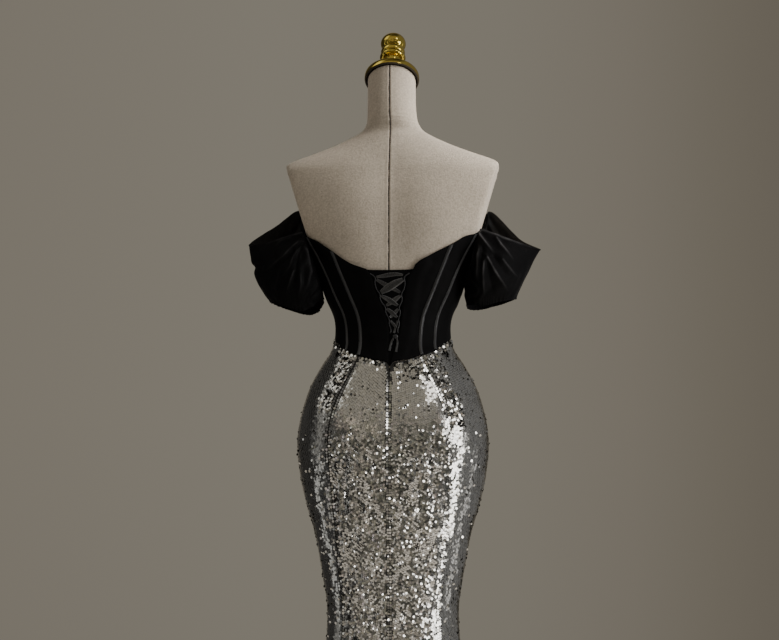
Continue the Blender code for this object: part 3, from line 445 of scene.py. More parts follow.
class Nodes:
    """A small helper to build the node tree of a material or of the world."""

    def __init__(self, owner):
        owner.use_nodes = True
        self.owner, self.tree = owner, owner.node_tree

    def put(self, socket, value):
        """Links another node's output to a socket, or sets the socket's own value."""
        if isinstance(value, bpy.types.NodeSocket):
            self.tree.links.new(value, socket)
        elif socket.type == "RGBA" and len(value) == 3:
            socket.default_value = (*value, 1)
        else:
            socket.default_value = value

    def add(self, kind, values=None, **settings):
        node = self.tree.nodes.new(kind)
        for key, value in settings.items():
            setattr(node, key, value)
        for key, value in (values or {}).items():
            self.put(node.inputs[key], value)
        return node

    def math(self, operation, a, b=0.0, clamp=False):
        return self.add("ShaderNodeMath", {0: a, 1: b}, operation=operation, use_clamp=clamp).outputs[0]

    def plus(self, a, b, clamp=False):
        return self.math("ADD", a, b, clamp)

    def times(self, a, b, clamp=False):
        return self.math("MULTIPLY", a, b, clamp)

    def ramp(self, value, stops):
        """Colours by value, from stops in rising order."""
        node = self.add("ShaderNodeValToRGB", {"Fac": value})
        elements = node.color_ramp.elements
        for element, (position, colour) in zip((elements[0], elements[1]), (stops[0], stops[-1])):
            element.position, element.color = position, (*colour, 1)
        for position, colour in stops[1:-1]:
            elements.new(position).color = (*colour, 1)
        return node.outputs[0]

    def grey_ramp(self, value, stops):
        return self.ramp(value, [(p, (v, v, v)) for p, v in stops])

    def noise(self, vector, scale, detail=3.0, roughness=0.5):
        values = {"Vector": vector, "Scale": scale, "Detail": detail, "Roughness": roughness}
        return self.add("ShaderNodeTexNoise", values).outputs[0]

    def mix(self, factor, a, b, blend="MIX"):
        values = {0: factor, 6: a, 7: b}
        return self.add("ShaderNodeMix", values, data_type="RGBA", blend_type=blend).outputs[2]

    def bump(self, height, distance, strength=1.0):
        values = {"Height": height, "Distance": distance, "Strength": strength}
        return self.add("ShaderNodeBump", values).outputs[0]

    def place(self):
        return self.add("ShaderNodeTexCoord").outputs["Object"]

    def scaled(self, place, scale):
        return self.add("ShaderNodeMapping", {"Vector": place, "Scale": scale}).outputs[0]

    def threads(self, pitch, wobble=None):
        """Waves along both lengths of a weave, a thread's pitch in metres."""
        lengths = self.add("ShaderNodeUVMap", uv_map="lengths").outputs[0]
        parts = self.add("ShaderNodeSeparateXYZ", {"Vector": lengths})
        turns = [self.times(parts.outputs[k], 2 * math.pi / pitch) for k in (0, 1)]
        return [self.math("SINE", self.plus(turn, wobble) if wobble else turn) for turn in turns]

    def attribute(self, name, output):
        return self.add("ShaderNodeAttribute", attribute_name=name).outputs[output]

    def set(self, **values):
        for key, value in values.items():
            self.put(self.tree.nodes["Principled BSDF"].inputs[key.replace("_", " ")], value)


LINEN_THREAD, NET_THREAD = 0.0011, 0.0016


def new_material(name):
    return Nodes(bpy.data.materials.new(name))


def linen_material():
    """Natural linen: a coarse uneven weave, slubs and dark flecks in it, a little soiled with handling."""
    n = new_material("linen_cover")
    place = n.place()
    warp, weft = n.threads(LINEN_THREAD, n.times(n.noise(place, 60.0, 2.0), 4.0))
    weave = n.times(n.plus(warp, weft), 0.25)
    fleck = n.grey_ramp(n.noise(place, 330.0, 2.0, 0.6), [(0.0, 0.0), (0.66, 0.0), (0.74, 1.0), (1.0, 1.0)])
    pale = n.grey_ramp(n.noise(place, 300.0, 3.0, 0.65), [(0.0, 0.0), (0.38, 0.1), (0.64, 1.0), (1.0, 1.0)])
    slub = n.noise(n.scaled(place, (1.0, 1.0, 0.22)), 210.0, 3.0, 0.6)
    soiled = n.grey_ramp(n.noise(place, 9.0, 4.0, 0.55), [(0.3, 0.88), (0.7, 1.06)])
    colour = n.mix(pale, (0.462, 0.394, 0.314), (0.612, 0.533, 0.438))
    colour = n.mix(n.grey_ramp(slub, [(0.42, 0.0), (0.68, 0.22)]), colour, (0.72, 0.645, 0.55))
    colour = n.mix(n.times(fleck, 0.60), colour, (0.20, 0.155, 0.115))
    n.set(Base_Color=n.mix(1.0, colour, soiled, "MULTIPLY"))
    n.set(Roughness=n.grey_ramp(pale, [(0.0, 0.88), (1.0, 0.78)]))
    n.set(Specular_IOR_Level=0.25, Sheen_Weight=0.12, Sheen_Roughness=0.5)
    n.set(Normal=n.bump(n.plus(weave, n.times(pale, 0.9)), 0.0003, 0.7))
    return n.owner


def brass_material():
    n = new_material("brass_polished")
    place = n.place()
    smear = n.noise(place, 70.0, 4.0, 0.6)
    scratch = n.noise(n.scaled(place, (40.0, 40.0, 900.0)), 3.0, 3.0)
    handled = n.grey_ramp(smear, [(0.35, 0.0), (0.75, 1.0)])
    n.set(Base_Color=n.mix(handled, (0.86, 0.66, 0.13), (0.74, 0.52, 0.11)), Metallic=1.0)
    n.set(Roughness=n.grey_ramp(smear, [(0.3, 0.07), (0.8, 0.16)]))
    n.set(Normal=n.bump(scratch, 0.00004, 0.4))
    return n.owner


def enamel_material(name):
    n = new_material(name)
    place = n.place()
    wear = n.noise(place, 55.0, 5.0, 0.6)
    chipped = n.grey_ramp(wear, [(0.55, 0.0), (0.8, 1.0)])
    n.set(Base_Color=n.mix(chipped, (0.016, 0.016, 0.017), (0.05, 0.048, 0.046)))
    n.set(Roughness=n.grey_ramp(wear, [(0.3, 0.32), (0.7, 0.5)]))
    n.set(Normal=n.bump(n.noise(place, 380.0, 3.0), 0.0002, 0.35))
    n.set(Coat_Weight=0.25, Coat_Roughness=0.2)
    return n.owner


def velvet_material():
    """Black velvet: a dense short pile, brushed and a little crushed, and painted paler along its folds as a
    highlight.
    """
    n = new_material("black_velvet")
    painted_highlight, place = n.attribute("painted_highlight", "Fac"), n.place()
    pile = n.noise(place, 1600.0, 2.0, 0.7)
    crushed = n.grey_ramp(n.noise(place, 26.0, 4.0, 0.6), [(0.35, 0.0), (0.75, 1.0)])
    brushed = n.noise(n.scaled(place, (1.0, 1.0, 0.35)), 90.0, 3.0)
    colour = n.mix(crushed, (0.0028, 0.0027, 0.0030), (0.0046, 0.0044, 0.0047))
    colour = n.mix(n.grey_ramp(pile, [(0.55, 0.0), (0.85, 1.0)]), colour, (0.0075, 0.0074, 0.0078))
    # Painted highlight: the base colour turns grey where a fold's crest or the top edge is marked.
    n.set(Base_Color=n.mix(painted_highlight, colour, (0.085, 0.083, 0.086)))
    n.set(Roughness=n.grey_ramp(brushed, [(0.3, 0.52), (0.7, 0.66)]), Specular_IOR_Level=0.07)
    n.set(Sheen_Weight=0.020, Sheen_Roughness=0.32, Sheen_Tint=(0.66, 0.65, 0.68))
    n.set(Normal=n.bump(n.plus(n.times(pile, 0.6), brushed), 0.0004, 0.5))
    return n.owner


def satin_material(name, colour, roughness, gloss, relief=0.0001):
    """Satin in one colour, painted paler as a highlight where one is marked, as along a ribbon's edges."""
    n = new_material(name)
    place = n.place()
    yarn = n.noise(n.scaled(place, (1.0, 1.0, 0.12)), 1400.0, 2.0)
    cloudy = n.grey_ramp(n.noise(place, 120.0, 3.0), [(0.35, 0.0), (0.7, 1.0)])
    tone = n.mix(cloudy, tuple(0.8 * c for c in colour), tuple(1.3 * c for c in colour))
    # Painted highlight: paler where one is marked.
    n.set(Base_Color=n.mix(n.attribute("painted_highlight", "Fac"), tone, (0.105, 0.104, 0.107)))
    n.set(Roughness=n.grey_ramp(yarn, [(0.35, roughness * 0.85), (0.7, roughness * 1.25)]))
    n.set(Specular_IOR_Level=gloss, Sheen_Weight=0.05, Sheen_Roughness=0.3)
    n.set(Normal=n.bump(yarn, relief, 0.5))
    return n.owner


def net_material():
    """The grey net under the sequins."""
    n = new_material("sequin_net")
    mesh_u, mesh_v = n.threads(NET_THREAD)
    holes = n.grey_ramp(n.times(mesh_u, mesh_v), [(0.3, 0.0), (0.8, 1.0)])
    colour = n.mix(holes, (0.024, 0.023, 0.021), (0.010, 0.0095, 0.009))
    dusty = n.times(n.noise(n.place(), 300.0, 2.0), 0.5)
    n.set(Base_Color=n.mix(dusty, colour, (0.034, 0.032, 0.029)), Roughness=0.7)
    n.set(Normal=n.bump(n.plus(mesh_u, mesh_v), 0.0002, 0.5))
    return n.owner


def sequin_material():
    """Silvered discs: each a little different in tone, with painted shade along the edge a neighbour
    overlaps, and a scuffed, faintly cupped face.
    """
    n = new_material("silver_sequins")
    tone_and_overlap_shade = n.attribute("tone_and_overlap_shade", "Color")
    scuff = n.noise(n.place(), 700.0, 2.0)
    n.set(Base_Color=n.mix(1.0, tone_and_overlap_shade, n.grey_ramp(scuff, [(0.3, 0.88), (0.7, 1.0)]), "MULTIPLY"))
    n.set(Metallic=1.0, Roughness=n.grey_ramp(scuff, [(0.3, 0.09), (0.75, 0.17)]))
    n.set(Normal=n.bump(scuff, 0.0002, 0.12))
    return n.owner


def thread_material(name, colour):
    n = new_material(name)
    twist = n.noise(n.place(), 1800.0, 2.0)
    n.set(Base_Color=n.mix(twist, tuple(0.7 * c for c in colour), tuple(1.2 * c for c in colour)))
    n.set(Roughness=0.8, Normal=n.bump(twist, 0.0001, 0.5))
    return n.owner


LINEN, BRASS = linen_material(), brass_material()
ENAMEL, ZIP_METAL = enamel_material("black_enamel"), enamel_material("zip_metal")
VELVET_CLOTH = velvet_material()
VELVET_BACK = satin_material("velvet_back", (0.016, 0.016, 0.017), 0.55, 0.3, 0.0002)
SATIN = satin_material("black_satin", (0.020, 0.020, 0.022), 0.3, 0.6)
BONING = satin_material("boning_satin", (0.019, 0.019, 0.021), 0.34, 0.9)
RIBBON = satin_material("ribbon_satin", (0.014, 0.014, 0.015), 0.30, 0.9)
NET, SEQUINS = net_material(), sequin_material()
DARK_THREAD = thread_material("dark_thread", (0.055, 0.045, 0.038))
BLACK_THREAD = thread_material("black_thread", (0.012, 0.012, 0.013))
# A dark dull brass: painted shade for the shadow under the neck cap.
CAP_SHADE = thread_material("cap_painted_shade", (0.035, 0.026, 0.014))


# ---------------------------------------------------------------- the dress form

FORM_HEIGHTS = [
    FORM_FOOT, 0.802, 0.812, 0.850, 0.905, 0.955, 1.000, 1.035, 1.060, 1.080, 1.100, 1.120, 1.140, 1.165,
    1.195, 1.220, 1.240, 1.260, 1.290, 1.320, 1.350, 1.375, 1.392, 1.404, 1.413, 1.424, 1.438, 1.453, 1.468,
]
FOOT_ROUNDING = {FORM_FOOT: 0.955, 0.802: 0.978, 0.812: 0.993}
NEAR_SEAM = [0.10, 0.25, 0.45, 0.75, 1.15, 1.7]  # degrees
SEAM_ASIDE = -2.0 * MM
SPINE_DEEP, SPINE_WIDE, BLADE_HIGH = 5.0 * MM, 38 * MM, 2.5 * MM
BLADE_ACROSS, BLADE_HEIGHT, BLADE_WIDE, BLADE_TALL = 78 * MM, 1.325, 42 * MM, 52 * MM
SEAM_FOOT = 1.15
COVER_INSET = 1.1 * MM  # from the figure, which is the cloth's inside
FOOT_ROWS, COVER_STEPS = 2, 6  # rows at the foot with no steps between them, and the steps elsewhere


def form_angles():
    near = [-v for v in NEAR_SEAM[::-1]] + [0.0] + NEAR_SEAM
    rest = list(np.arange(2.5, 357.6, 2.5))
    return np.radians(np.array(near + rest))


def back_relief(x, z):
    """How far the form's back stands out from the figure: a hollow down the spine, between two blades."""
    spine = -SPINE_DEEP * np.exp(-((x / SPINE_WIDE) ** 2)) * smoothstep(z, 1.19, 1.27)
    spine = spine * (1 - smoothstep(z, 1.375, 1.44))
    across, up = (np.abs(x) - BLADE_ACROSS) / BLADE_WIDE, (z - BLADE_HEIGHT) / BLADE_TALL
    return spine + BLADE_HIGH * np.exp(-(across**2) - up**2)


def form_cover():
    angles = form_angles()
    rings = []
    for z in FORM_HEIGHTS:
        level = np.full(len(angles), z)
        turned_by = angles + float(angle_at(np.array(SEAM_ASIDE), np.array(z)))
        ring = figure(turned_by, level) - outward(figure, turned_by, level) * COVER_INSET
        ring[:, :2] *= FOOT_ROUNDING.get(z, 1.0)
        ring[:, 2] = z
        rings.append(ring)
    for z, radius, depth, aside, centre, lean, twist in NECK:
        lean = math.radians(lean)
        across, along = radius * np.sin(angles + twist), -depth * np.cos(angles + twist)
        ring = aside + across, centre + along * math.cos(lean), z - along * math.sin(lean)
        rings.append(np.stack(ring, -1))
    fine = spline(rings, [1] * FOOT_ROWS + [COVER_STEPS] * (len(rings) - 1 - FOOT_ROWS))
    around = unit(np.roll(fine, -1, axis=1) - np.roll(fine, 1, axis=1))
    up = unit(np.gradient(fine, axis=0))
    normal = unit(np.cross(around, up))
    back = normal[..., 1] < 0
    fine = fine + normal * np.where(back, back_relief(fine[..., 0], fine[..., 2]), 0)[..., None]
    # The closed seam: a groove with a low ridge on each side.
    x = fine[..., 0] - fine[:, len(NEAR_SEAM), 0][:, None]
    groove = -0.9 * MM * np.exp(-((x / (1.1 * MM)) ** 2))
    groove = groove + 0.45 * MM * np.exp(-(((np.abs(x) - 3.4 * MM) / (1.7 * MM)) ** 2))
    fine = fine + normal * np.where(back, groove, 0)[..., None]
    # The collar's seam round the foot of the neck.
    rows_away = np.arange(len(fine)) - FOOT_ROWS - COVER_STEPS * (len(FORM_HEIGHTS) - FOOT_ROWS)
    welt = -0.8 * MM * (rows_away == 0) + 0.35 * MM * (np.abs(rows_away) == 1)
    fine = fine + normal * welt[:, None, None]
    index = np.arange(fine[..., 0].size).reshape(fine.shape[:2])
    faces = grid_quads(np.hstack([index, index[:, :1]])).tolist()
    faces += [index[0, ::-1].tolist(), index[-1].tolist()]
    mesh = bpy.data.meshes.new("form_cover")
    mesh.from_pydata(fine.reshape(-1, 3).tolist(), [], faces)
    put_lengths(mesh, fine, np.concatenate([np.array(f) for f in faces]))
    mesh.shade_smooth()
    mesh.set_sharp_from_angle(angle=math.radians(60))
    cover = link("form_cover", mesh, LINEN)
    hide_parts("form_torso")
    return fine, normal


def form_seam(fine, normal):
    """The closed seam down the centre back: its dark thread, and short stitches across it."""
    column = len(NEAR_SEAM)
    line, out = fine[:, column], normal[:, column]
    keep = line[:, 2] > SEAM_FOOT
    line, out = line[keep], out[keep]
    length = np.concatenate([[0], np.cumsum(np.linalg.norm(np.diff(line, axis=0), axis=1))])
    at = np.arange(0.002, length[-1] - 0.002, 0.0015)
    points = np.stack([np.interp(at, length, line[:, k]) for k in range(3)], -1)
    outs = unit(np.stack([np.interp(at, length, out[:, k]) for k in range(3)], -1))
    uneven = lambda scale, seed: ripple(at, 0 * at, 0 * at, scale, seed)
    points[:, 0] += 0.45 * MM * uneven(0.03, 3) + 0.35 * MM * uneven(0.009, 4)
    thick = np.maximum((0.80 + 0.40 * uneven(0.012, 5)) * MM, 0.35 * MM)
    meshes = [tube_along("seam_thread", points + outs * 0.45 * MM, 0.8 * MM, None, sides=6, radii=thick)]
    for k in range(2, len(at) - 2, 3):
        reach = (1.5 + 0.5 * math.sin(5.1 * k)) * MM
        start = points[k] + outs[k] * 0.75 * MM + np.array([-reach, 0, 0.2 * MM])
        end = points[k] + outs[k] * 0.75 * MM + np.array([reach, 0, 0.6 * MM])
        sunk = outs[k] * 0.3 * MM
        path = np.array([start - sunk, 0.5 * (start + end) + outs[k] * 0.1 * MM, end - sunk])
        meshes.append(tube_along("stitch", path, 0.36 * MM, None, sides=4))
    seam_piece = joined("form_seam_stitches", meshes, DARK_THREAD)


CAP_TALL, CAP_RISE = 17 * MM, 8 * MM
CAP_SEAT, CAP_LIP, CAP_RECESS = 0.042, 0.0475, 5 * MM
# Each lobe of the finial, in mm: its middle's height, its radius, half its height, and the groove under it.
LOBES = [(67.0, 23.5, 19.5, 18.5), (45.5, 22.5, 6.5, 19.0), (32.5, 24.0, 6.0, 15.0)]


def on_the_neck(rise):
    z, _, _, aside, centre, lean, _ = NECK[-1]
    turn = Matrix.Rotation(math.radians(-lean), 4, "X")
    return Matrix.Translation(Vector((aside, centre, z))) @ turn @ Matrix.Translation((0, 0, rise))


def brass_pieces():
    dome = [(0.0, CAP_TALL + CAP_RISE), (0.012, CAP_TALL + CAP_RISE), (0.020, CAP_TALL + CAP_RISE)]
    dome += [
        (0.027, CAP_TALL + CAP_RISE * 0.72), (0.033, CAP_TALL + CAP_RISE * 0.36),
        (0.038, CAP_TALL + 0.4 * MM),
    ]
    side = [(0.0440, CAP_TALL - 0.5 * MM), (0.0468, CAP_TALL - 1.4 * MM), (0.0488, CAP_TALL - 3.0 * MM)]
    side += [(0.0500, CAP_TALL - 5.0 * MM), (0.0505, CAP_TALL - 8.0 * MM), (0.0505, 5.0 * MM)]
    side += [(0.0501, 3.0 * MM), (0.0494, 1.2 * MM), (0.0486, 0.3 * MM), (0.0480, 0.0)]
    seat = [(0.0474, 0.1 * MM), (CAP_LIP - 0.4 * MM, 0.5 * MM), (CAP_LIP - 0.6 * MM, CAP_RECESS - 0.3 * MM)]
    seat += [(CAP_LIP - 1.0 * MM, CAP_RECESS), (CAP_SEAT, CAP_RECESS), (CAP_SEAT, 0.4 * MM)]
    seat += [(CAP_SEAT - 0.4 * MM, 0.0), (0.0, 0.0)]
    cap = turned("neck_cap_fine", dome + side + seat, 128, BRASS, on_the_neck(0.3 * MM))
    # The turned groove over the neck and the rim's foot get a dark dull brass: painted shade for the shadow
    # under the cap.
    cap.data.materials.append(CAP_SHADE)
    back = on_the_neck(0.3 * MM).inverted()
    for face in cap.data.polygons:
        place = back @ face.center
        groove = place.z < CAP_RECESS + 0.1 * MM and math.hypot(place.x, place.y) < CAP_LIP - 0.05 * MM
        if groove or place.z < 2.6 * MM:
            face.material_index = 1
    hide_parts("form_neck_cap")
    middle, radius, half, foot = (v * MM for v in LOBES[0])
    profile = [(radius * math.sin(t), middle + half * math.cos(t)) for t in np.linspace(0, 2.3, 26)]
    above = foot
    for lobe in LOBES[1:]:
        middle, radius, half, foot = (v * MM for v in lobe)
        for t in np.linspace(0, math.pi, 17):
            groove = above if t < 1.57 else foot
            profile.append((groove + (radius - groove) * math.sin(t), middle + half * math.cos(t)))
        above = foot
    profile += [(13 * MM, 23 * MM), (12.4 * MM, 19 * MM), (13 * MM, 15 * MM), (16 * MM, 10 * MM)]
    profile += [(19 * MM, 6 * MM), (19.4 * MM, 4 * MM), (19 * MM, 1 * MM), (18 * MM, 0.0), (0.0, 0.0)]
    finial = turned("finial_fine", profile, 72, BRASS, on_the_neck(CAP_TALL + CAP_RISE + 0.6 * MM))
    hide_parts("form_finial")


def stand():
    top = FORM_FOOT - 0.3 * MM
    pole = [(0.0, top), (44 * MM, top), (45 * MM, top - 1 * MM), (45 * MM, top - 4 * MM)]
    pole += [(44 * MM, top - 5 * MM), (20 * MM, top - 7 * MM), (18 * MM, top - 9 * MM)]
    pole += [(18 * MM, top - 24 * MM), (14 * MM, top - 26 * MM)]
    pole += [(14 * MM, 0.43), (16.5 * MM, 0.428), (16.5 * MM, 0.400), (14 * MM, 0.398)]
    pole += [(14 * MM, 60.3 * MM), (0.0, 60.3 * MM)]
    rod = turned("pole_fine", pole, 48, ENAMEL)
    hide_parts("form_pole")
    base = [(0.0, 60 * MM), (20 * MM, 60 * MM), (23 * MM, 58.5 * MM), (24 * MM, 56 * MM), (25 * MM, 40 * MM)]
    base += [(28 * MM, 31 * MM), (36 * MM, 25.5 * MM), (55 * MM, 22 * MM), (100 * MM, 16.5 * MM)]
    base += [(150 * MM, 11 * MM), (163 * MM, 9.6 * MM), (167 * MM, 8.6 * MM), (169.4 * MM, 6.6 * MM)]
    base += [(170 * MM, 4.5 * MM), (170 * MM, 1 * MM), (169 * MM, 0.0), (0.0, 0.0)]
    plate = turned("base_fine", base, 128, ENAMEL)
    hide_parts("form_base")


# ---------------------------------------------------------------- the bodice

TOPS = {"left": LEFT_TOP, "right": RIGHT_TOP}
SEAMS = (0.010, 0.012)  # the allowance at each side, and the turning at each end
LEAST_AREA = 0.305  # of a cut's width by its length
TURNED_EDGE = 0.012  # of a panel's height
CHANNEL_ROWS = 61
CHANNEL_ACROSS = np.array([-1, -0.86, -0.72, -0.5, -0.25, 0, 0.25, 0.5, 0.72, 0.86, 1.0])
CHANNEL_BULGE = np.array([0.55, 0.62, 0.75, 1.35, 1.75, 1.9, 1.75, 1.35, 0.75, 0.62, 0.55]) * MM
STITCHED_COLUMNS, STITCH_STARTS, STITCH_SHARE = (1, 9), (0.05, 0.55), 0.34


def edge_shares(count):
    """Even rows, with three more close to each end for the turned edges."""
    near = np.array([0, 0.25, 0.6, 1]) * TURNED_EDGE
    return np.unique(np.concatenate([near, np.linspace(0, 1, count + 1)[1:-1], 1 - near]))


def bodice_panel(name, left, right, top, columns, side, node):
    lower, upper = edge(WAIST_EDGE, 0.5 * MM), edge(top)
    shares = edge_shares(46)
    a, z = patch(figure, left, right, lower, upper, columns, shares)
    p = figure(a, z)
    width = np.linalg.norm(p[:, -1] - p[:, 0], axis=-1)[:, None]
    height = np.linalg.norm(p[-1] - p[0], axis=-1)[None, :]
    across = np.linspace(0, 1, columns + 1)[None, :] * width
    up = height * shares[:, None]
    near = np.minimum(np.minimum(across, width - across), np.minimum(up, height - up))
    # The outer face rounds off towards the seams, and strains a little between them.
    drop = 0.7 * MM * (1 - smoothstep(near, 0, 2.4 * MM)) ** 1.4
    strain = 0.35 * MM * ripple_on(p, 0.030, 11, (0.35, 1, 1)) * smoothstep(near, 2 * MM, 10 * MM)
    strain += 0.35 * MM * ripple_on(p, 0.045, 12, (1, 1, 2.2)) * smoothstep(near, 2 * MM, 12 * MM)
    gap = bodice_gap(a, z)
    inside, outside = sheet_of(figure, a, z, gap + 0.5 * MM, gap + VELVET - drop + strain)
    thing = shell(name, mirror(inside, side), mirror(outside, side), VELVET_CLOTH)
    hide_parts(node)
    declare_cut(thing, outside)


def declare_cut(thing, outside, seams=SEAMS, fullness=1.0):
    """The cut of what shows: its widest row by its longest column; the seam allowances are inside."""
    widths = np.linalg.norm(np.diff(outside, axis=1), axis=-1).sum(axis=1)
    heights = np.linalg.norm(np.diff(outside, axis=0), axis=-1).sum(axis=0)
    du = outside[1:, 1:] - outside[:-1, :-1]
    dv = outside[1:, :-1] - outside[:-1, 1:]
    area = 0.5 * np.linalg.norm(np.cross(du, dv), axis=-1).sum() * fullness
    width, length = round(float(widths.max() * fullness), 3), round(float(heights.max()), 3)
    area = round(float(min(max(area, LEAST_AREA * width * length), width * length)), 5)
    whole = (round(width + 2 * seams[0], 3), round(length + 2 * seams[1], 3))
    print("CUT", thing.name, (width, length), "area", area, "whole", whole)


def bodice(channels):
    back, side_back = seam(BACK_SEAM), seam(SIDE_BACK_SEAM)
    middle, front = seam(SIDE_SEAM), seam(FRONT_SEAM)
    for side, sign in SIDES.items():
        inner, outer = channels[side]
        panels = [
            ("back", opening_edge(sign), back, 26, []),
            ("side_back", back, side_back, 12, [inner]),
            ("side", side_back, middle, 26, [outer]),
            ("side_front", middle, front, 36, []),
        ]
        for panel, left, right, columns, trims in panels:
            name, node = f"velvet_{panel}_{side}", f"bodice_{panel}_{side}"
            bodice_panel(name, left, right, TOPS[side], columns, sign, node)
    bodice_panel("velvet_front", front, over_the_front(FRONT_SEAM), LEFT_TOP, 60, 1, "bodice_front")


def back_insert():
    lower, upper = edge(WAIST_EDGE, 1.2 * MM), edge(LEFT_TOP, -1.5 * MM)
    reach = lambda z: angle_at(insert_half(z), z)
    a, z = patch(figure, lambda z: -reach(z), reach, lower, upper, 36, edge_shares(40))
    soft = 0.18 * MM * ripple_on(figure(a, z), 0.03, 21, (1, 1, 1.6))
    inner = np.full(a.shape, CLOTH_GAP + 0.1 * MM)
    inside, outside = sheet_of(figure, a, z, inner, CLOTH_GAP + 0.85 * MM + soft)
    thing = shell("velvet_insert", inside, outside, VELVET_CLOTH)
    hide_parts("back_insert")
    declare_cut(thing, outside, (0.002, 0.010))


def channel(name, curve, top, width, side, node):
    """A boning channel, and the pairs of points of the stitches along both its edges."""
    low_edge, top_edge = edge(WAIST_EDGE, 1.5 * MM), edge(top, -1 * MM)
    share = np.linspace(0, 1, CHANNEL_ROWS)
    middle = np.full(CHANNEL_ROWS, math.radians(float(curve(1.1))))
    for _ in range(14):
        z = (1 - share) * low_edge(middle) + share * top_edge(middle)
        middle = np.radians(curve(z))
    half = arc_angle(figure, middle, z, width / 2)
    a = middle[:, None] + CHANNEL_ACROSS[None, :] * half[:, None]
    zz = np.repeat(z[:, None], len(CHANNEL_ACROSS), axis=1)
    pucker = 1 + 0.10 * ripple(zz * 1.0, CHANNEL_ACROSS[None, :] * 0.004, 0 * zz, 0.006, 31)
    pucker = pucker + 0.06 * ripple(zz, 0 * zz, 0 * zz, 0.03, 32)
    base = bodice_gap(a, zz) + VELVET + 0.35 * MM
    inside, outside = sheet_of(figure, a, zz, base, base + CHANNEL_BULGE[None, :] * pucker)
    thing = shell(name, mirror(inside, side), mirror(outside, side), BONING)
    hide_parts(node)
    stitches = []
    for column in STITCHED_COLUMNS:
        line = outside[:, column]
        for p, q in zip(line, line[1:]):
            for start in STITCH_STARTS:
                end = start + STITCH_SHARE
                stitches.append((p * (1 - start) + q * start, p * (1 - start - STITCH_SHARE) + q * end))
    return thing, stitches


def stitch_piece(name, pairs, side, radius, material):
    """Many short threads as one mesh: four-sided darts along the given pairs of points."""
    verts, faces = [], []
    for start, end in pairs:
        start, end = np.array(start), np.array(end)
        if side < 0:
            start, end = start * [-1, 1, 1], end * [-1, 1, 1]
        along = unit(end - start)
        up = unit(np.array([start[0], start[1], 0.0]))
        across = unit(np.cross(along, up))
        k = len(verts)
        middle = 0.5 * (start + end) + up * radius * 0.8
        aside, above = across * radius, up * radius
        ring = [middle + aside, middle + above, middle - aside, middle - above]
        verts += [start, *ring, end]
        faces += [(k, k + 1, k + 2), (k, k + 2, k + 3), (k, k + 3, k + 4), (k, k + 4, k + 1)]
        faces += [(k + 5, k + 2, k + 1), (k + 5, k + 3, k + 2), (k + 5, k + 4, k + 3), (k + 5, k + 1, k + 4)]
    mesh = quad_mesh(name, np.array(verts), np.array(faces), smooth=False)
    thing = link(name, mesh, material)


def boning_channels():
    channels = {}
    for side, sign in SIDES.items():
        pieces, stitches = [], []
        for place, curve, width in (("inner", BACK_SEAM, 6.0 * MM), ("outer", SIDE_BACK_SEAM, 5.4 * MM)):
            name, node = f"boning_{place}_{side}", f"channel_{place}_{side}"
            piece, pairs = channel(name, curve, TOPS[side], width, sign, node)
            pieces.append(piece)
            stitches += pairs
        stitch_piece(f"boning_stitches_{side}", stitches, sign, 0.18 * MM, BLACK_THREAD)
        channels[side] = pieces
    return channels


# ---------------------------------------------------------------- the lacing

LOOP_HEIGHTS = [1.191, 1.163, 1.140, 1.119, 1.100]
LOOP_TOP, LOOP_CORD, LOOP_HALF = 1.199, 1.0 * MM, 6.5 * MM
LOOP_LEVEL = CLOTH_GAP + LIFT + VELVET / 2
KNOT = (9.2 * MM, 1.0865)
KNOT_SIZE = (5.0 * MM, 1.7 * MM, 3.8 * MM)  # its half sizes across, through and up
RIBBON_WALL, RIBBON_ROWS, RIBBON_COLUMNS = 0.35 * MM, 41, 17


def evened(values, times):
    """Each value drawn towards its neighbours, but for the ends."""
    for _ in range(times):
        values[1:-1] = 0.25 * values[:-2] + 0.5 * values[1:-1] + 0.25 * values[2:]
    return values


def back_point(x, z, level):
    x, z = np.asarray(x, float), np.asarray(z, float)
    a = angle_at(x, z)
    return figure(a, z) + outward(figure, a, z) * np.asarray(level, float)[..., None]


def loop_reach(z):
    return LOOP_CORD + 0.3 * MM + min(4.0 * MM, 0.2 * float(OPENING(z)))


def loops():
    """The rouleau loops: one cord on each edge of the opening, which bows out at each loop."""
    foot = LOOP_CORD + 0.6 * MM
    for name, side in SIDES.items():
        rows = [(z, foot, LOOP_LEVEL) for z in np.linspace(LOOP_TOP, LOOP_HEIGHTS[0] + LOOP_HALF, 4)[:-1]]
        for row, middle in enumerate(LOOP_HEIGHTS):
            for k in range(15):
                along = 1 - 2 * k / 14
                stand = foot + (loop_reach(middle) - foot) * math.sqrt(max(0, 1 - along**2))
                level = LOOP_LEVEL + 0.5 * MM * (1 - along**2) * (0.6 + 0.4 * math.cos(3 * row + side))
                rows.append((middle + along * LOOP_HALF, stand, level))
        xs = [side * (float(OPENING(z)) - stand) + float(OPENING_ASIDE(z)) for z, stand, _ in rows]
        zs, _, levels = np.array(rows).T
        points = evened(back_point(np.array(xs), zs, levels), 2)
        thing = tube_along(f"loop_cord_{name}", points, 0.95 * MM, SATIN, sides=12)
        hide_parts(f"loops_{name}")


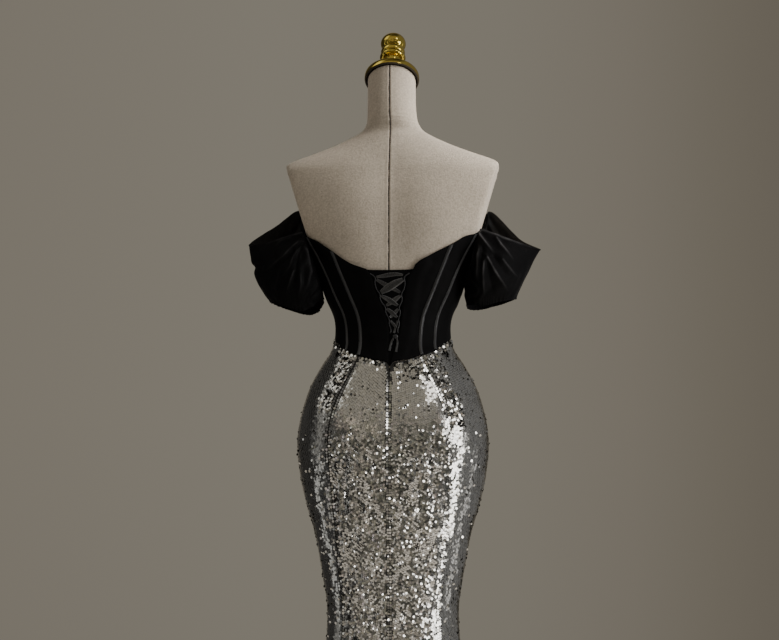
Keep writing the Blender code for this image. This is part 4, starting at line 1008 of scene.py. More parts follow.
def ribbon(name, node, route, widths, levels, folds, seed, edge_highlight=0.7):
    """A stretch of satin ribbon: (x, z) in mm and m along it, its width and level at each, and how its
    cross-section is folded: (place across, height in mm, half width) for each soft ridge."""
    route = np.array(route, float)
    t = np.linspace(0, 1, len(route))
    fine = np.linspace(0, 1, RIBBON_ROWS)
    x = evened(np.interp(fine, t, route[:, 0]) * MM, 5)
    z = evened(np.interp(fine, t, route[:, 1]), 5)
    wide = evened(np.interp(fine, np.linspace(0, 1, len(widths)), widths) * MM, 6)[:, None]
    level = evened(np.interp(fine, np.linspace(0, 1, len(levels)), levels) * MM, 6)[:, None]
    run = np.stack([np.gradient(x), np.gradient(z)], -1)
    run /= np.linalg.norm(run, axis=-1, keepdims=True)
    across = np.linspace(-1, 1, RIBBON_COLUMNS)[None, :]
    sx = x[:, None] - run[:, 1][:, None] * across * wide / 2
    sz = z[:, None] + run[:, 0][:, None] * across * wide / 2
    rise = np.zeros(sx.shape)
    for place, height, half in folds:
        drift = place + 0.12 * np.sin(fine * 5 + seed)[:, None]
        crest = np.exp(-(((across - drift) / half) ** 2))
        rise += height * MM * crest * (0.65 + 0.35 * np.cos(fine * 4 + seed)[:, None])
    rise += 0.10 * MM * ripple(sx, sz, 0 * sx, 0.007, seed)
    tip = smoothstep(1 - np.abs(across), 0, 0.2)
    low = back_point(sx, sz, level + rise)
    high = back_point(sx, sz, level + rise + RIBBON_WALL * (0.35 + 0.65 * tip))
    thing = shell(name, low, high, RIBBON)
    # Painted highlight: its edges are painted paler than the satin between them.
    painted_edges = smoothstep(np.abs(across), 0.66, 0.90) * (0.75 + 0.25 * ripple(sx, sz, 0 * sx, 0.012, seed + 9))
    paint_highlight(thing, np.concatenate([painted_edges.reshape(-1)] * 2) * edge_highlight)
    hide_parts(node)


def loop_inner(side, row, above):
    """Where a ribbon passes through a loop, above its middle or below: x in mm, and z."""
    z = LOOP_HEIGHTS[row] + (2.8 * MM if above else -2.8 * MM)
    reach = loop_reach(LOOP_HEIGHTS[row]) + LOOP_CORD + 1.2 * MM
    return (side * (float(OPENING(LOOP_HEIGHTS[row])) - reach) + float(OPENING_ASIDE(z))) / MM, z


def lacing():
    low, high, loop = 2.55, 3.65, 3.75  # mm out from the figure
    (xa, za), (xb, zb) = loop_inner(-1, 0, True), loop_inner(1, 0, True)
    route = [(xa, za - 0.001), (xa * 0.5, za + 0.0005), (0, za + 0.0025)]
    route += [(xb * 0.5, zb + 0.0035), (xb, zb + 0.002)]
    folds = [(0.55, 0.7, 0.22), (-0.45, 0.55, 0.25)]
    levels = [loop, low + 0.3, low, low + 0.3, loop]
    ribbon("ribbon_top", "lace_top", route, [3.6, 6.5, 7.4, 6.0, 3.6], levels, folds, 1)
    crossings = [  # the upper ribbon's side at its foot, and both ribbons' widths along them
        (1, [6.5, 12.5, 13.5, 13.0, 7.0], [4.5, 7.5, 9.0, 7.0, 4.5]),
        (-1, [4.5, 7.5, 9.0, 7.5, 4.5], [4.5, 8.5, 9.5, 7.0, 4.0]),
        (-1, [4.0, 6.5, 7.6, 6.5, 4.0], [4.0, 6.5, 7.6, 6.0, 4.0]),
    ]
    over_folds = [(0.72, 1.0, 0.14), (0.1, 0.5, 0.2), (-0.6, 0.8, 0.18)]
    under_folds = [(0.5, 0.9, 0.16), (-0.1, 0.6, 0.18), (-0.62, 0.8, 0.16)]
    for row, (over, wide_over, wide_under) in enumerate(crossings):
        # The ribbons lying over get a fuller painted highlight on their edges than those under.
        for kind, side, level, wide, folds, bow, edge_highlight in (
            ("over", over, high, wide_over, over_folds, 0.9 * MM, 0.9),
            ("under", -over, low, wide_under, under_folds, -0.6 * MM, 0.35),
        ):
            (xa, za), (xb, zb) = loop_inner(side, row, False), loop_inner(-side, row + 1, True)
            route = [(xa, za), (xa * 0.6 + xb * 0.4, za * 0.6 + zb * 0.4 + bow)]
            route += [(xa * 0.35 + xb * 0.65, za * 0.35 + zb * 0.65 + bow * 0.6), (xb, zb)]
            name, node = f"ribbon_{row + 1}_{kind}", f"lace_{row + 1}_{kind}"
            levels, seed = [loop, level, level, level, loop], 3 + row * 2 + (kind == "over")
            ribbon(name, node, route, wide, levels, folds, seed, edge_highlight)
    last = len(LOOP_HEIGHTS) - 2
    (xa, za), (xb, zb) = loop_inner(-1, last, False), loop_inner(1, last + 1, True)
    route = [(xa, za), (0.5 * (xa + xb), 0.5 * (za + zb)), (xb, zb)]
    folds = [(0.4, 0.5, 0.25), (-0.4, 0.4, 0.25)]
    ribbon("ribbon_4_over", "lace_4_over", route, [3.4, 5.0, 3.4], [loop, high, loop], folds, 12)
    xa, za = loop_inner(1, last, False)
    route = [(xa, za), (0.5 * (xa + 6.6), 0.5 * (za + KNOT[1] + 0.007)), (6.6, KNOT[1] + 0.007)]
    ribbon("ribbon_4_under", "lace_4_under", route, [3.2, 3.6, 3.2], [loop, low, loop], [(0.3, 0.4, 0.3)], 13)


def knot_and_tails():
    centre = back_point(KNOT[0], KNOT[1], LOOP_LEVEL + LOOP_CORD + 2.2 * MM)
    ball = bmesh.new()
    bmesh.ops.create_uvsphere(ball, u_segments=40, v_segments=24, radius=1)
    for v in ball.verts:
        turn = math.atan2(v.co.z, v.co.x)
        wrap = 1 + 0.10 * math.sin(3 * turn + 5.0 * v.co.x) + 0.06 * math.sin(7 * v.co.z + 2 * v.co.x)
        v.co = Vector([along * half for along, half in zip(v.co, KNOT_SIZE)]) * wrap
    bmesh.ops.translate(ball, verts=ball.verts, vec=centre)
    mesh = mesh_of("ribbon_knot", ball)
    mesh.shade_smooth()
    knot = link("ribbon_knot", mesh, SATIN)
    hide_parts("lace_knot")
    level, wide = (CLOTH_GAP + LIFT + VELVET) / MM + 0.7, [2.4, 3.2, 3.4, 3.6]
    route = [(6.0, 1.0835), (3.0, 1.078), (0.8, 1.070), (-0.6, 1.0605)]
    levels, folds = [level + 1.2, level + 0.4, level + 0.2, level], [(0.3, 0.55, 0.25), (-0.5, 0.4, 0.25)]
    ribbon("ribbon_tail_left", "lace_tail_left", route, wide, levels, folds, 15, edge_highlight=0.25)
    route = [(11.6, 1.0835), (13.0, 1.076), (12.2, 1.068), (10.8, 1.0580)]
    levels, folds = [level + 1.2, level + 0.5, level + 0.3, level], [(0.1, 0.6, 0.25), (0.7, 0.3, 0.2)]
    ribbon("ribbon_tail_right", "lace_tail_right", route, wide, levels, folds, 16, edge_highlight=0.25)


# ---------------------------------------------------------------- the sleeves

# Places round a sleeve, in mm as (outward, forward, up): on its top edge, half way down and at its cuff.
RIGHT_SLEEVE = [
    ((157, -47, 1281), (161, -74, 1214), (160, -43, 1144)),
    ((212, -48, 1262), (210, -56, 1205), (200, -36, 1154)),
    ((265, -2, 1250), (241, 2, 1206), (221, 0, 1161)), ((229, 42, 1276), (208, 60, 1220), (199, 38, 1158)),
    ((173, 57, 1330), (164, 76, 1236), (160, 46, 1148)),
    ((163, 34, 1266), (143, 46, 1206), (140, 30, 1146)), ((153, 0, 1234), (133, 0, 1190), (132, 0, 1149)),
    ((155, -30, 1254), (134, -46, 1200), (137, -30, 1148)),
]
LEFT_SLEEVE = [
    ((154, -47, 1279), (160, -76, 1212), (158, -42, 1138)),
    ((205, -50, 1265), (208, -58, 1206), (198, -37, 1150)),
    ((262, 0, 1264), (251, 2, 1208), (223, 0, 1159)), ((219, 44, 1305), (206, 60, 1226), (197, 40, 1151)),
    ((176, 57, 1335), (164, 78, 1236), (156, 46, 1140)),
    ((163, 34, 1266), (141, 48, 1206), (134, 30, 1150)), ((153, 0, 1234), (131, 0, 1190), (125, 0, 1163)),
    ((155, -30, 1254), (131, -48, 1200), (129, -32, 1157)),
]
SLEEVE_COLUMNS = [42, 34, 34, 42, 20, 12, 12, 20]

# The folds fan out from the gather: height and half width in mm where each starts and ends, and its
# route as (outward, up) in mm. A negative height is a trough.
Fold = namedtuple("Fold", "heights widths route")
RIGHT_BACK = [
    Fold((4.2, 1.5), (3.6, 6.0), [(155, 1276), (160, 1266), (168, 1254), (184, 1234)]),
    Fold((-3.0, -1.0), (4.0, 7.0), [(160, 1276), (170, 1262), (182, 1250), (204, 1230)]),
    Fold((3.2, 1.6), (3.4, 5.5), [(186, 1266), (196, 1250), (206, 1238), (218, 1222)]),
    Fold((-1.6, -0.6), (4.0, 6.0), [(198, 1262), (212, 1246), (226, 1232)]),
    Fold((4.0, 2.2), (3.2, 5.0), [(157, 1244), (154, 1226), (153, 1206), (152, 1186)]),
    Fold((-2.6, -1.6), (3.4, 5.0), [(163, 1246), (160, 1222), (159, 1196), (158, 1170)]),
    Fold((3.6, 2.0), (3.2, 5.0), [(165, 1222), (163, 1198), (164, 1176), (166, 1158)]),
    Fold((-2.6, -1.4), (4.0, 5.5), [(172, 1232), (174, 1206), (178, 1180), (182, 1158)]),
    Fold((4.4, 2.2), (3.4, 6.0), [(170, 1230), (182, 1206), (194, 1188), (208, 1168)]),
    Fold((-2.4, -1.0), (4.5, 6.0), [(184, 1228), (198, 1206), (214, 1186)]),
    Fold((1.5, 0.8), (3.5, 6.0), [(196, 1226), (212, 1206), (226, 1192)]),
    Fold((1.4, 0.6), (2.6, 3.5), [(152, 1262), (146, 1236), (143, 1208)]),
]
LEFT_BACK = [
    Fold((4.4, 1.8), (3.8, 6.5), [(160, 1262), (174, 1250), (190, 1232), (214, 1216), (240, 1208)]),
    Fold((-2.8, -1.0), (4.0, 7.0), [(172, 1240), (196, 1216), (222, 1200)]),
    Fold((3.4, 1.6), (3.4, 5.5), [(163, 1246), (172, 1232), (178, 1214), (196, 1190)]),
    Fold((-2.4, -1.4), (3.4, 5.0), [(163, 1234), (168, 1206), (176, 1180)]),
    Fold((3.4, 1.8), (3.2, 5.0), [(170, 1208), (177, 1190), (188, 1162)]),
    Fold((2.8, 1.6), (3.0, 4.5), [(159, 1204), (158, 1184), (166, 1154)]),
    Fold((4.2, 2.4), (3.2, 5.5), [(153, 1250), (146, 1228), (142, 1206), (146, 1184), (156, 1164)]),
    Fold((-2.0, -1.2), (3.4, 5.0), [(158, 1240), (153, 1212), (153, 1186), (160, 1166)]),
    Fold((2.2, 1.0), (3.6, 6.0), [(176, 1268), (196, 1262), (214, 1246)]),
    Fold((-1.4, -0.6), (4.0, 6.0), [(206, 1206), (216, 1188), (226, 1176)]),
    Fold((1.3, 0.7), (3.4, 6.0), [(196, 1206), (204, 1186), (212, 1168)]),
]
FRONT = [
    Fold((4.0, 1.6), (4.0, 6.5), [(172, 1322), (182, 1304), (196, 1284), (216, 1260)]),
    Fold((-2.8, -1.0), (4.0, 6.5), [(172, 1310), (188, 1280), (208, 1248)]),
    Fold((4.0, 1.8), (3.8, 6.0), [(169, 1302), (178, 1270), (188, 1244), (204, 1220)]),
    Fold((-2.6, -1.2), (4.0, 6.0), [(168, 1290), (176, 1254), (190, 1214), (204, 1184)]),
    Fold((4.4, 2.0), (3.8, 5.5), [(165, 1288), (170, 1250), (178, 1216), (188, 1180)]),
    Fold((-2.4, -1.4), (3.6, 5.0), [(162, 1284), (165, 1240), (170, 1196), (174, 1164)]),
    Fold((3.6, 2.0), (3.4, 5.0), [(160, 1278), (158, 1240), (159, 1206), (162, 1172)]),
    Fold((1.6, 0.8), (3.4, 5.5), [(200, 1290), (212, 1272), (230, 1254)]),
    Fold((1.5, 0.8), (3.2, 5.0), [(154, 1262), (150, 1230), (150, 1200)]),
]
SLEEVE_CLEAR = CLOTH_GAP + VELVET + 2.4 * MM
CUFF_FACING = 1.215  # below this the pile is turned in over the cuff's elastic
SLEEVE_FULLNESS = 1.25
LEFT_HIGHLIGHT = 0.30  # the left sleeve, further from the light, gets this share of the right one's painted highlight


def to_route(x, z, route):
    """How far each point is from a route, and how far along it, from 0 to 1."""
    route = np.array(route, float) * MM
    runs = np.linalg.norm(np.diff(route, axis=0), axis=1)
    total = runs.sum()
    nearest, along = np.full(x.shape, 9.0), np.zeros(x.shape)
    done = 0.0
    for a, b, run in zip(route, route[1:], runs):
        d = b - a
        share = np.clip(((x - a[0]) * d[0] + (z - a[1]) * d[1]) / run**2, 0, 1)
        away = np.hypot(x - a[0] - share * d[0], z - a[1] - share * d[1])
        closer = away < nearest
        nearest = np.where(closer, away, nearest)
        along = np.where(closer, (done + share * run) / total, along)
        done += run
    return nearest, along


def fold_crests(p, folds):
    """Painted highlight: a thin line along each raised fold, fading as it runs out."""
    highlight = np.zeros(p.shape[:-1])
    for fold in folds:
        away, along = to_route(p[..., 0], p[..., 2], fold.route)
        line = np.exp(-((away / (1.2 * MM + 0.3 * MM * along)) ** 2)) * smoothstep(1.0 - along, 0, 0.7)
        highlight = np.maximum(highlight, line * max(0.0, fold.heights[0]) / 4.4 * smoothstep(along, 0.0, 0.08))
    return highlight


def fold_rise(p, folds):
    rise = np.zeros(p.shape[:-1])
    for fold in folds:
        away, along = to_route(p[..., 0], p[..., 2], fold.route)
        height = fold.heights[0] + (fold.heights[1] - fold.heights[0]) * along
        width = (fold.widths[0] + (fold.widths[1] - fold.widths[0]) * along) * MM
        crest = np.exp(-np.abs(away / width) ** 1.5)
        rise += height * MM * crest * smoothstep(1.02 - along, 0, 0.35)
    return rise


def clear_of_the_body(p, distance):
    half, front, back, _ = section_at(p[..., 2])
    depth = np.where(p[..., 1] < 0, back, front)
    guess = np.arctan2(p[..., 0] / half, -p[..., 1] / depth)
    spread = math.radians(24)
    for _ in range(4):
        tries = guess[..., None] + spread * (np.arange(13) / 6 - 1)
        z = np.repeat(p[..., 2][..., None], 13, axis=-1)
        best = np.linalg.norm(figure(tries, z) - p[..., None, :], axis=-1).argmin(axis=-1)
        guess = np.take_along_axis(tries, best[..., None], -1)[..., 0]
        spread /= 5
    out = outward(figure, guess, p[..., 2])
    near = ((p - figure(guess, p[..., 2])) * out).sum(-1)
    return p + out * np.maximum(0, distance - near)[..., None]


def tube_normals(p):
    around = np.roll(p, -1, axis=1) - np.roll(p, 1, axis=1)
    down = np.gradient(p, axis=0)
    return unit(np.cross(around, -down))


def smooth_tube(p):
    q = 0.5 * p + 0.25 * (np.roll(p, 1, axis=1) + np.roll(p, -1, axis=1))
    q[1:-1] = 0.5 * q[1:-1] + 0.25 * (q[:-2] + q[2:])
    return q


def sleeve_grid(places):
    """A sleeve without its folds: smooth round it through the places, and bowed from edge to cuff."""
    rails = [np.array(place, float) * MM for place in places]
    columns = []
    for i, steps in enumerate(SLEEVE_COLUMNS):
        near = [rails[(i + k) % len(rails)] for k in (-1, 0, 1, 2)]
        columns += [catmull(*near, t) for t in np.arange(steps) / steps]
    columns = np.array(columns)
    turned_in = [0, 0.006, 0.014, 0.024], [0.976, 0.986, 0.994, 1.0]
    share = np.unique(np.concatenate([turned_in[0], np.linspace(0, 1, 73)[2:-2], turned_in[1]]))[:, None]
    s = share[..., None]
    top, middle, cuff = (columns[None, :, k] for k in range(3))
    return (1 - s) * (1 - 2 * s) * top + 4 * s * (1 - s) * middle + s * (2 * s - 1) * cuff, share


def sleeve(side, places, back_folds, seed, notch=None):
    """An off-the-shoulder sleeve; a notch is the height of a dent in its outer corner."""
    p, share = sleeve_grid(places)
    n = tube_normals(p)
    behind = p[..., 1] < 0
    facing = smoothstep(np.abs(p[..., 1]), 8 * MM, 30 * MM)
    rise = np.where(behind, fold_rise(p, back_folds), fold_rise(p, FRONT)) * facing
    # The gather: short uneven puckers that run out from where the sleeve meets the bodice.
    gather = np.exp(-np.maximum(0, p[..., 0] - 0.150) / 0.016)
    turn = np.arctan2(p[..., 2] - 1.270, p[..., 0] - 0.145)
    rise += gather * 1.1 * MM * np.sin(26 * turn + 3 * ripple_on(p, 0.05, seed))
    # Long soft hollows and small crumples between the folds.
    hollows = ripple_on(p, 0.055, seed + 1, (0.8, 0.6, 0.45))
    rise += 1.3 * MM * hollows * smoothstep(p[..., 0], 0.150, 0.175)
    rise += 0.45 * MM * ripple_on(p, 0.020, seed + 2, (1, 1, 0.6))
    if notch:
        dent = np.exp(-(((p[..., 2] - notch) / (6 * MM)) ** 2))
        rise -= 5.0 * MM * dent * smoothstep(p[..., 0], 0.222, 0.244)
    # The rolled top edge, and the cuff turned in over its elastic.
    near_top = lambda reach: np.exp(-((share / reach) ** 2))
    near_cuff = lambda reach: np.exp(-(((1 - share) / reach) ** 2))
    rise += 1.3 * MM * near_top(0.016)
    rise += 0.9 * MM * near_cuff(0.02)
    around = np.linspace(0, 2 * math.pi, p.shape[1], endpoint=False)[None, :]
    puckers = np.sin(41 * around + 2.5 * np.sin(5 * around + seed)) * (0.7 + 0.3 * np.sin(3 * around))
    rise += near_cuff(0.07) * 0.8 * MM * puckers
    # Painted highlight along the folds' crests and the top edge, fuller on the back than on the front.
    highlight = np.where(behind, fold_crests(p, back_folds), 0.6 * fold_crests(p, FRONT)) * facing
    top_edge_highlight = np.exp(-(((share - 0.010) / 0.012) ** 2)) * (1 - smoothstep(p[..., 0], 0.200, 0.262))
    highlight = np.maximum(highlight, 0.85 * top_edge_highlight * np.where(behind, 1.0, 0.1))
    highlight *= 0.75 + 0.25 * ripple_on(p, 0.02, seed + 4)
    outside = clear_of_the_body(smooth_tube(p + n * rise[..., None]), SLEEVE_CLEAR)
    thick = 1.0 * MM + 0.7 * MM * near_top(0.014) + 0.5 * MM * near_cuff(0.02)
    inside = outside - tube_normals(outside) * (thick * np.ones(outside.shape[:2]))[..., None]
    # Rows run from the top down, so they are turned over to face out.
    inner, outer, highlight = inside[::-1], outside[::-1], highlight[::-1]
    # The left sleeve, further from the light, gets less of the painted highlight.
    if side == "left":
        inner, outer, highlight = mirror(inner, -1), mirror(outer, -1), LEFT_HIGHLIGHT * highlight[:, ::-1]
    thing = shell(f"velvet_sleeve_{side}", inner, outer, VELVET_CLOTH, closed=True)
    paint_highlight(thing, np.concatenate([0 * highlight.reshape(-1), highlight.reshape(-1)]))
    # Inside the sleeve the cloth's flat woven back shows.
    thing.data.materials.append(VELVET_BACK)
    count = highlight.size
    for face in thing.data.polygons:
        face.material_index = int(face.center.z > CUFF_FACING and all(v < count for v in face.vertices))
    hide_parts(f"sleeve_{side}")
    loop = np.concatenate([outer, outer[:, :1]], axis=1)
    declare_cut(thing, loop, fullness=SLEEVE_FULLNESS)


# ---------------------------------------------------------------- the skirt

SEQUIN_PITCH, SEQUIN_RADIUS, SEQUIN_CORNERS = 4.1 * MM, 2.40 * MM, 6
ROW_STEP, SEAM_STEP = 0.866, 1.22  # in pitches, between rows and along the line beside a seam
ROW_SLANT = math.radians(20)
LEVELS, PLACES = 1400, 120  # how finely a panel is measured, up it and across it
SEAM_CLEAR, SEAM_CLEAR_LOW, SEAM_GAPE = 2.6 * MM, 2.0 * MM, 0.9 * MM
# How much wider in mm the sequins part beside the slit, and between which heights that comes on.
SLIT_CLEAR = [(1.3, 0.93, 0.98), (0.8, 1.000, 1.008), (1.2, 1.010, 1.032), (4.5, 1.020, 1.046)]
SEWN_ASTRAY = 0.18 * MM
MOST_ASKEW, MOST_LEAN = 0.76, 1.3
LOOSE_LEAN, RUFFLED_LEAN, FIRM_LEAN, LIVELY_LEAN = 0.34, 0.25, 0.026, 0.075
TO_THE_WINDOW, TO_THE_LEFT, SWUNG_SIZE = 34, -38, 0.74  # two bearings in degrees, and a share of a radius
# The sequins' tone, its spread, and the painted shade along each one's overlapped edge.
TONE, TONE_SPREAD, OVERLAP_SHADE = 0.90, 0.06, 0.62


def skirt_base(name, left, right, columns, side, node):
    shares = np.unique(np.concatenate([np.linspace(0, 1, 150), [0.0015, 0.004, 0.9985]]))
    lower, upper = lambda angle: 0 * angle + HEM, edge(WAIST_EDGE, -0.5 * MM)
    a, z = patch(skirt_surface, left, right, lower, upper, columns, shares)
    gap = skirt_gap(a, z)
    inside, outside = sheet_of(skirt_surface, a, z, gap + 0.5 * MM, gap + 1.3 * MM)
    thing = shell(name, mirror(inside, side), mirror(outside, side), NET)
    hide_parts(node)
    declare_cut(thing, outside)


def how_they_lie(x, z, from_back_seam, near_seam, near_waist, panel):
    """How sequins lie: how lively the cloth under them is, how ruffled they are, and the share askew.

    Flat on the upper back; ruffled at the waist, along seams and over each hip; restless below."""
    side_liveliness = np.where(x > 0, 0.10, 0.12)
    lively = smoothstep(0.938 - z, 0, 0.050) * (1.0 if panel == "back" else side_liveliness)
    # Low down on the right they lie flat again beside the seam, and catch the window as one band.
    if panel == "back":
        beside = smoothstep(17 * MM - from_back_seam, 0, 6 * MM) * smoothstep(0.872 - z, 0, 0.025) * (x > 0)
        lively = lively * (1 - 0.90 * beside)
    waist = np.exp(-((near_waist / (11 * MM)) ** 4))
    seams = np.exp(-((near_seam / (4 * MM)) ** 2))
    hip = 0.0 * z
    if panel == "side":
        reach = np.where(x > 0, 36 * MM, 33 * MM)
        low = np.where(x > 0, 0.915, 0.948)
        hip = smoothstep(reach - from_back_seam, 0, 7 * MM) * smoothstep(z - low, 0, 0.020)
    right_waist = smoothstep(x, 0.006, 0.022) * smoothstep(z, 1.000, 1.020) if panel == "back" else 0.0 * z
    ruffled = np.clip(waist + hip + 0.9 * right_waist, 0, 1)
    specks = 0.05 * smoothstep(ripple(x, 0 * x, z, 0.045, 41), 0.1, 0.8)
    share = 0.03 + 0.68 * ruffled + 0.10 * seams + 0.20 * lively + specks
    return lively, ruffled, hip, np.clip(share, 0, MOST_ASKEW)


def sequin_places(left, right, slant, apart):
    """Where a panel's sequins are sewn: slanting close-packed rows, and a line beside each seam.

    "apart" is how much further they stay from the panel's left and right seams."""
    middle = lambda z: 0.5 * (left(z) + right(z))
    levels = np.linspace(HEM + 2.5 * MM, 1.094, LEVELS)
    line = skirt_surface(middle(levels), levels)
    length = np.concatenate([[0], np.cumsum(np.linalg.norm(np.diff(line, axis=0), axis=1))])
    shares = np.linspace(0, 1, PLACES)
    angles = left(levels)[:, None] * (1 - shares) + right(levels)[:, None] * shares
    points = skirt_surface(angles, np.repeat(levels[:, None], PLACES, axis=1))
    steps = np.linalg.norm(np.diff(points, axis=1), axis=-1)
    runs = np.concatenate([np.zeros((LEVELS, 1)), np.cumsum(steps, axis=1)], axis=1)
    runs -= runs[:, PLACES // 2][:, None]
    # Rows of a close-packed grid, turned by the slant about the panel's middle.
    reach = math.hypot(np.abs(runs).max(), length[-1] / 2)
    span = int(reach / (SEQUIN_PITCH * ROW_STEP)) + 2
    i, k = np.meshgrid(np.arange(-2 * span, 2 * span + 1), np.arange(-span, span + 1))
    across, along = (i + 0.5 * k) * SEQUIN_PITCH, k * SEQUIN_PITCH * ROW_STEP
    u = across * math.cos(slant) - along * math.sin(slant)
    w = across * math.sin(slant) + along * math.cos(slant) + length[-1] / 2
    inside = (w > 0) & (w < length[-1]) & (np.abs(u) < np.abs(runs).max())
    u, w, layer = u[inside], w[inside], ((i - k) % 3)[inside]
    level_of = lambda places: np.interp(places, length, np.arange(LEVELS)).round().astype(int)
    level = level_of(w)
    clear = SEAM_CLEAR_LOW + (SEAM_CLEAR - SEAM_CLEAR_LOW) * smoothstep(levels, 0.93, 0.98)
    margin = clear[level] + 0.60 * SEQUIN_PITCH
    inside = (u > runs[level, 0] + margin + apart[0]) & (u < runs[level, -1] - margin - apart[1])
    u, layer, level = u[inside], layer[inside], level[inside]
    # The line beside each seam, on top of the rest.
    beside = level_of(np.arange(0, length[-1], SEQUIN_PITCH * SEAM_STEP))
    at_left = runs[beside, 0] + clear[beside] + apart[0]
    at_right = runs[beside, -1] - clear[beside] - apart[1]
    u = np.concatenate([u, at_left, at_right])
    level = np.concatenate([level, beside, beside])
    layer = np.concatenate([layer, 2 + 0 * beside, 2 + 0 * beside])
    order = np.argsort(level, kind="stable")
    u, level, layer = u[order], level[order], layer[order]
    a = np.empty(len(u))
    ends = np.searchsorted(level, np.arange(LEVELS + 1))
    for row in range(LEVELS):
        these = slice(ends[row], ends[row + 1])
        a[these] = np.interp(u[these], runs[row], angles[row])
    return a, levels[level], layer


